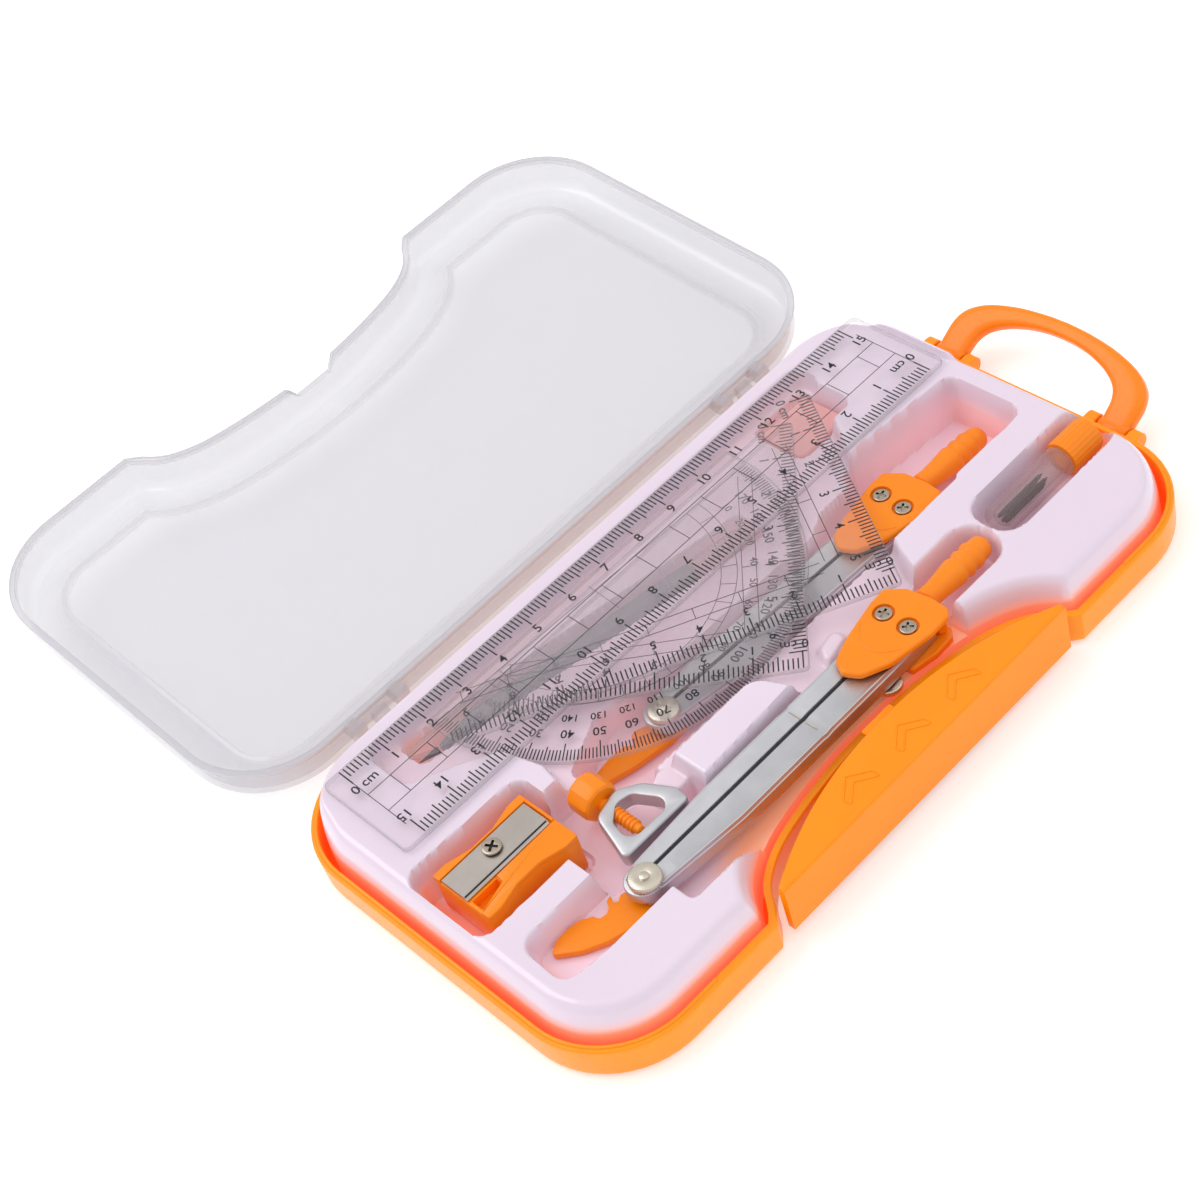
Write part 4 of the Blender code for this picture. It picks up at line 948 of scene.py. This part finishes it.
def build_compass(tag, origin, degrees, top, reach, leaf):
    """One compass flat in its own frame: head at the origin, legs towards -X with their underside at Z 0."""
    place, body = placed(degrees, *origin, top - HEAD_TOP), "compass_" + tag

    # head: front cover with sunk screws and a curved ridge, rear cover with a notch for the nut, side cheeks
    holes = [disc(0, y, 2.3) for y in (3.15, -3.15)]
    piece = Piece().plate(rounded(HEAD, HEAD_R, 6), holes, HEAD_TOP - 1.8, HEAD_TOP, 0.65, 0.18)
    for y in (3.15, -3.15):
        piece.slab(disc(0, y, 2.45, 28), HEAD_TOP - 1.75, HEAD_TOP - 0.85, 0.05, 1)
    a = np.radians(np.linspace(138, 222, 24))
    piece.loft(tube_along(np.column_stack([6.2 + 15.0 * np.cos(a), -0.4 + 11.5 * np.sin(a) * 0.72,
                                           np.full(24, HEAD_TOP - 0.08)]), 0.24, 8))
    under = HEAD[:3] + [(-4.5, -7.0), (-5.2, -1.8), (-14.6, -1.8)] + HEAD[5:]
    piece.slab(rounded(under, [0.7, 0.7, 1.0, 0.8, 0.8, 0.8, 1.6, 3, 6, 4, 0.9, 2, 2], 5), -2.1, -0.3, 0.4)
    cheek = [(5.2, -5.9), (6.9, -6.9), (7.9, -2.0), (7.0, 3.4), (4.9, 6.4), (5.2, 1.8), (5.2, -1.0)]
    piece.slab(rounded(cheek, 0.3, 3), 0.1, LEG + 0.2, 0.1, 1)
    piece.welded().move(place).done("covers_" + tag, body, "orange_part", PART_ORANGE,
                                    ("head_cover_" + tag, "head_back_" + tag), smooth=36)

    piece = Piece()
    for y, lean in ((3.15, 14.0), (-3.15, 40.0)):
        cross_head(piece, 0, y, HEAD_TOP - 0.12, 1.8, lean)
        piece.pin(0.85, 0.6, HEAD_TOP - 0.6, 16, (0, y, 0))
    piece.welded().move(place).done("screws_" + tag, body, "nickel", (SHADED_NICKEL, SHADE_BLACK),
                                    ("screw_%s1" % tag, "screw_%s2" % tag))

    # legs with a groove across, a black slab in the gap between them as painted shade, and the eye at their
    # ends
    x = np.concatenate([np.linspace(-reach - 2.2, -reach + 4, 10), np.linspace(-reach + 5, 4.0, 60)])
    stops = [-reach - 2.2, -reach, -reach + 2, -52, -4, 4.0]
    piece = Piece()
    for side, edge in ((1, [2.2, 3.2, 4.0, 5.2, 5.2, 4.9]), (-1, [-3.4, -4.3, -4.7, -6.6, -6.6, -6.2])):
        rows = leg_rows(x, 0.35 * side, np.interp(x, stops, edge), side)
        rows[..., 2] -= 0.3 * np.exp(-((x + 28.3) / 0.6) ** 2)[:, None] * (rows[..., 2] > 3)
        piece.loft(rows)
    # black slab in the gap between the legs: painted shade
    piece.slab(rounded(oblong(-reach + 3.5, -9, -0.34, 0.34), 0.05, 1), 0.4, 3.5, 0.02, 1, mat=1)
    for y in (1.9, -2.3):
        strokes(piece, [(-28.3, y - 1.5)], [(-28.3, y + 1.5)], 0.3, LEG - 0.1, mat=2, high=0.05)
    piece.slab(disc(-reach, -0.6, 3.9, 36), 1.2, LEG - 0.1, 0.4)
    piece.move(place).done("legs_" + tag, body, "cast", (CAST, SHADE_BLACK, NICKEL),
                           ("leg_left_" + tag, "leg_right_" + tag))

    Piece().loft(spun(GRIP, 32, (0, 0.9, LEG / 2), "x")).move(place).done(
        "grip_turned_" + tag, body, "orange_part", PART_ORANGE, ("grip_" + tag,), smooth=50)
    outline = rounded(np.array(leaf[0]) - [reach, 0], leaf[1], 5)
    Piece().slab(outline, -1.9, -0.3, 0.22).welded().move(place).done(
        "leaf_" + tag, body, "orange_part", PART_ORANGE, ("point_guard_" + tag,))
    Piece().loft(spun(THUMB, 108, (-reach, -1.5, 0), knurl=(36, 0.16, 3, 6))).move(place).done(
        "thumb_disc_" + tag, "thumb_" + tag, "nickel", NICKEL, ("thumb_screw_" + tag,), smooth=40)
    Piece().loft(spun(NUT, 96, (-9.5, -5.1, 0), knurl=(32, 0.14, 1, 4))).move(place).done(
        "nut_" + tag, body, "nickel", NICKEL, ("pivot_nut_" + tag,), smooth=40)


def build_holder(tag, origin, top, reach):
    """Pencil ring beside the legs' ends and the threaded clamp whose knob has ten flats."""
    place = placed(0.0, *origin, top - HEAD_TOP)
    outer = [(19, 5.5), (19.2, 9.4), (16.0, 15.6), (11.4, 19.0), (4.6, 17.0), (2.6, 10.4), (1.0, 5.5)]
    inner = [(14.4, 7.3), (15.8, 9.6), (12.8, 15.4), (9.4, 16.2), (5.8, 13.4), (4.6, 7.5)]
    outer, inner = (np.array(p) - [reach, 0] for p in (outer, inner))
    outer, inner = rounded(outer, [1.2, 3, 4, 3.4, 3, 3, 1.2], 6), rounded(inner, 2.4, 6)
    Piece().plate(outer, [inner], 0.2, LEG, 0.6, 0.35).welded().move(place).done(
        "ring_" + tag, "compass_" + tag, "cast", CAST, ("pencil_ring_" + tag,))
    shaft = [(0.5, 8.4), (0.95, 8.7), (1.05, 9.5)]
    for y in 9.8 + 1.04 * np.arange(9):
        shaft += [(1.1, y), (1.48, y + 0.27), (1.48, y + 0.54), (1.1, y + 0.81)]
    shaft += [(1.2, 19.3), (1.2, 19.4)]
    knob = [(3.7, 19.4), (4.15, 19.75), (4.35, 20.3), (4.35, 24.4), (4.15, 25.0), (3.7, 25.4), (2.2, 25.55),
            (0.6, 25.6)]
    n, centre = 60, np.array([-reach + 8.4, 0, 2.2])
    rings = spun(shaft + knob, n, centre, "y")
    sweep = np.linspace(0, TAU, n, endpoint=False) % (TAU / 10) - math.pi / 10
    facets = np.ones((len(rings), n))
    facets[len(shaft):len(shaft) + 6] = np.minimum(math.cos(math.pi / 10) / np.cos(sweep), 0.99)
    rings = np.where(np.array([0, 1, 0], bool), rings, centre + (rings - centre) * facets[..., None])
    Piece().loft(rings).move(place).done("clamp_knob_" + tag, "clamp_" + tag, "orange_part", PART_ORANGE,
                                         ("clamp_screw_" + tag,), smooth=24)


build_compass("1", (18.8, -25.7), 0.0, RULER_TOP, 73.6, LEAF_HOOKED)
build_holder("1", (18.8, -25.7), RULER_TOP, 73.6)
build_compass("2", (46.5, 0.0), -3.0, extent("head_cover_2")[1][2], 68.0, LEAF_PLAIN)


# ---- sharpener
def build_sharpener():
    """Waisted block with a raised cheek either side of its blade, a cone socket, the blade and its screw."""
    place, s0, s1 = placed(0.0, -67.0, -0.8), 4.8, 15.0
    front = [(-11.8, -8.0), (-8.5, -8.0), (-3.0, -6.6), (3.0, -6.6), (8.5, -8.2), (11.8, -8.2)]
    waist = rounded(front + [(11.8, 8.4), (8.5, 8.4), (3.0, 6.8), (-3.0, 6.8), (-8.5, 8.4), (-11.8, 8.4)],
                    [0.5, 1.5, 5, 5, 1.5, 0.5] * 2, 5)
    chip = rounded([(-10.9, -5.5), (-4.4, -3.7), (-4.4, -1.9), (-10.9, -1.9)], [0.6, 0.3, 0.2, 0.3], 3)
    piece = Piece().plate(waist, [chip], s0, s1 - 0.9, 0.5, 0.1)
    piece.slab(rounded(front + [(11.8, -1.7), (-4.2, -1.8), (-4.4, -3.8), (-10.9, -5.7), (-11.8, -5.8)],
                       [0.5, 1.5, 5, 5, 1.5, 0.5, 0.3, 0.2, 0.2, 0.2, 0.2], 4), s1 - 1.4, s1, 0.3)
    piece.slab(rounded([(-11.8, 6.5), (11.8, 6.5), (11.8, 8.4), (8.5, 8.4), (3.0, 6.95), (-3.0, 6.95),
                        (-8.5, 8.4), (-11.8, 8.4)], 0.15, 2), s1 - 1.4, s1 - 0.1, 0.12)
    piece.slab(rounded(oblong(11.1, 11.8, -1.6, 6.5), 0.1, 1), s1 - 1.4, s1, 0.2)
    socket = (0, -1.2, 9.6)
    piece.loft(spun([(3.9, 11.4), (4.3, 11.4), (4.3, 11.95), (3.9, 11.95)], 32, socket, "x"), closed=True)
    # black band inside the socket: painted shade in the hole
    piece.loft(spun([(3.88, 11.6), (3.88, 11.9)], 32, socket, "x"), mat=1)
    piece.slab(grow(chip, 0.3), s0 + 1.0, s1 - 3.2, 0.1, 1)
    piece.welded().move(place).done("sharpener_case", "sharpener", "orange_part", (PART_ORANGE, SHADE_BLACK),
                                    ("sharpener_body",), smooth=30)

    x0, x1, y0, y1 = -11.6, 10.6, -1.35, 6.0
    rows = [[(x0, y, s1 - 0.6 + a), (x1, y, s1 - 0.6 + a), (x1, y, s1 - 0.5 + b), (x0, y, s1 - 0.5 + b)]
            for y, a, b in ((y0, 0, 0.06), (y0 + 0.9, 0, 0.62), (y0 + 1, 0, 0.7), (y1 - 0.15, 0, 0.7),
                            (y1, 0.08, 0.6))]
    blade = Piece().loft(rows[::-1])
    strokes(blade, [(x0 + 0.2, y0 + 0.62)], [(x1 - 0.2, y0 + 0.62)], 0.3, s1 - 0.08, mat=1, high=0.22)
    blade.move(place).done("blade_ground", "sharpener", "blade", (STEEL, SHADE_BLACK), ("sharpener_blade",))
    screw = Piece()
    cross_head(screw, -0.4, 3.2, s1 + 1.05, 2.05, 30.0)
    screw.pin(0.95, s0 + 6, s1 + 0.3, 16, (-0.4, 3.2, 0))
    screw.welded().move(place).done("blade_screw", "sharpener", "nickel", (SHADED_NICKEL, SHADE_BLACK), ("sharpener_screw",))


build_sharpener()


# ---- lead tube, pencil and eraser
def build_small():
    """Lead tube with its cap and leads, the hexagonal pencil with its point and clear cover, the eraser."""
    x0, x1, x2, middle = 52.4, 75.0, 83.0, np.array([0, -23.0, 12.2])
    wall = [(0.4, x0), (2.6, x0 + 0.05), (3.2, x0 + 0.35), (3.5, x0 + 0.9), (3.5, x1 - 1.6), (2.6, x1 - 1.6),
            (2.6, x1 + 3.0), (2.2, x1 + 3.0)]
    hollow = [(2.2, x1 + 2.9), (2.2, x0 + 1.9), (1.7, x0 + 1.3), (0.4, x0 + 1.2)]
    rings = np.concatenate([spun(wall, 36, middle, "x"), spun(hollow, 36, middle, "x")[::-1]])
    Piece().loft(rings).done("tube_wall", "tube", "clear", TUBE_CLEAR, ("lead_tube",), smooth=40)
    cap = [(2.95, x1 - 1.2), (3.9, x1 - 1.2), (4.1, x1 - 0.9), (4.1, x2 - 0.8), (3.9, x2 - 0.35),
           (3.4, x2 - 0.05), (1.2, x2)]
    Piece().loft(spun(cap, 96, middle, "x", knurl=(24, 0.22, 2, 3))).done(
        "cap_ribbed", "tube_cap", "orange_part", PART_ORANGE, ("tube_cap",), smooth=30)
    piece = Piece()
    for dy, dz, a, b in ((0.0, -1.1, 54.4, 69.0), (-1.1, -0.5, 54.2, 67.0), (1.1, -0.6, 54.6, 67.6),
                         (0.55, 0.4, 55.0, 68.2), (-0.55, 0.5, 54.6, 65.6), (-0.2, 1.35, 55.4, 66.6)):
        piece.loft(spun([(0.3, a), (0.5, a + 0.4), (0.5, b - 1.2), (0.12, b)], 14, middle + [0, dy, dz], "x"))
    piece.done("leads", "tube", "graphite", GRAPHITE, ("spare_leads",))

    place = placed(-10.2, -17.0, 29.2, 7.2)
    for profile, n, *says in (
            ([(0.95, -37.5), (3.0, -28.4), (3.1, -28.0), (3.1, 26.7), (2.9, 27.0)], 6,
             "pencil_hex", "pencil", "barrel", BARREL, ("pencil",)),
            ([(0.1, -43.0), (0.5, -40.6), (0.85, -38.2)], 16,
             "pencil_point", "pencil", "graphite", GRAPHITE, ("pencil_lead",)),
            ([(3.0, 27.6), (3.2, 28.0), (3.2, 39.4), (2.9, 41.0), (2.2, 42.0)], 28,
             "pencil_tip_cover", "pencil", "clear", TUBE_CLEAR, ("pencil_cap",), 40)):
        Piece().loft(spun(profile, n, (0, 0, 0), "x")).move(place).done(*says)
    Piece().slab(rounded(oblong(46.2, 60.8, 25.2, 38.8), 1.5, 5), 5.9, 10.6, 0.8, 4).done(
        "eraser_block", "eraser", "rubber", PINK, ("eraser",))


build_small()


# ---- floor, light and camera
def aimed(location, target=(0.0, 0.02, 0.0)):
    """Rotation that points a light's -Z from its location at the target."""
    return (Vector(target) - Vector(location)).to_track_quat("-Z", "Y").to_euler()


def build_stage():
    """Pale floor, a wide soft key from the upper left, a fill from the right and a bright even sky."""
    floor = bpy.data.meshes.new("floor")
    floor.from_pydata(level(oblong(-3, 3, -3, 3), -0.0002).tolist(), [], [(0, 1, 2, 3)])
    net = Net("floor_white")
    net.set(Base_Color=net.mix(net.noise(3.0), (0.9, 0.9, 0.91, 1.0), (0.92, 0.92, 0.93, 1.0)),
            Roughness=0.9, Emission_Color=(1.0, 1.0, 1.0, 1.0), Emission_Strength=0.3)
    floor.materials.append(net.mat)
    obj = bpy.data.objects.new("floor", floor)
    bpy.context.scene.collection.objects.link(obj)
    for name, power, size, place in (("key", 5.5, 0.9, (-0.45, 0.75, 1.05)),
                                     ("fill", 1.4, 1.1, (0.75, -0.55, 0.8)),
                                     ("top", 1.6, 1.4, (0.0, 0.0, 1.4))):
        lamp = bpy.data.lights.new(name, "AREA")
        lamp.energy, lamp.size = power, size
        light = bpy.data.objects.new(name, lamp)
        light.location = place
        light.rotation_euler = aimed(place)
        bpy.context.scene.collection.objects.link(light)
    world = bpy.data.worlds.new("studio")
    bpy.context.scene.world = world
    world.use_nodes = True
    sky = world.node_tree.nodes["Background"]
    sky.inputs["Color"].default_value = (1.0, 1.0, 1.0, 1.0)
    sky.inputs["Strength"].default_value = 0.78


def build_camera():
    """Camera above the front left corner, rolled so that the case runs up to the right."""
    cam = bpy.data.cameras.new("camera")
    cam.lens, cam.sensor_width = 70.62, 36.0
    obj = bpy.data.objects.new("camera", cam)
    right, up, back = (0.6920, -0.6845, -0.2293), (0.6300, 0.4176, 0.6548), (-0.3524, -0.5976, 0.7202)
    turned = Matrix((right, up, back)).transposed().to_4x4()
    turned.translation = (-0.1817, -0.2604, 0.3651)
    obj.matrix_world = turned
    bpy.context.scene.collection.objects.link(obj)
    bpy.context.scene.camera = obj
    bpy.context.scene.view_settings.view_transform = "Standard"
    bpy.context.scene.cycles.transparent_max_bounces = 32


build_stage()
build_camera()
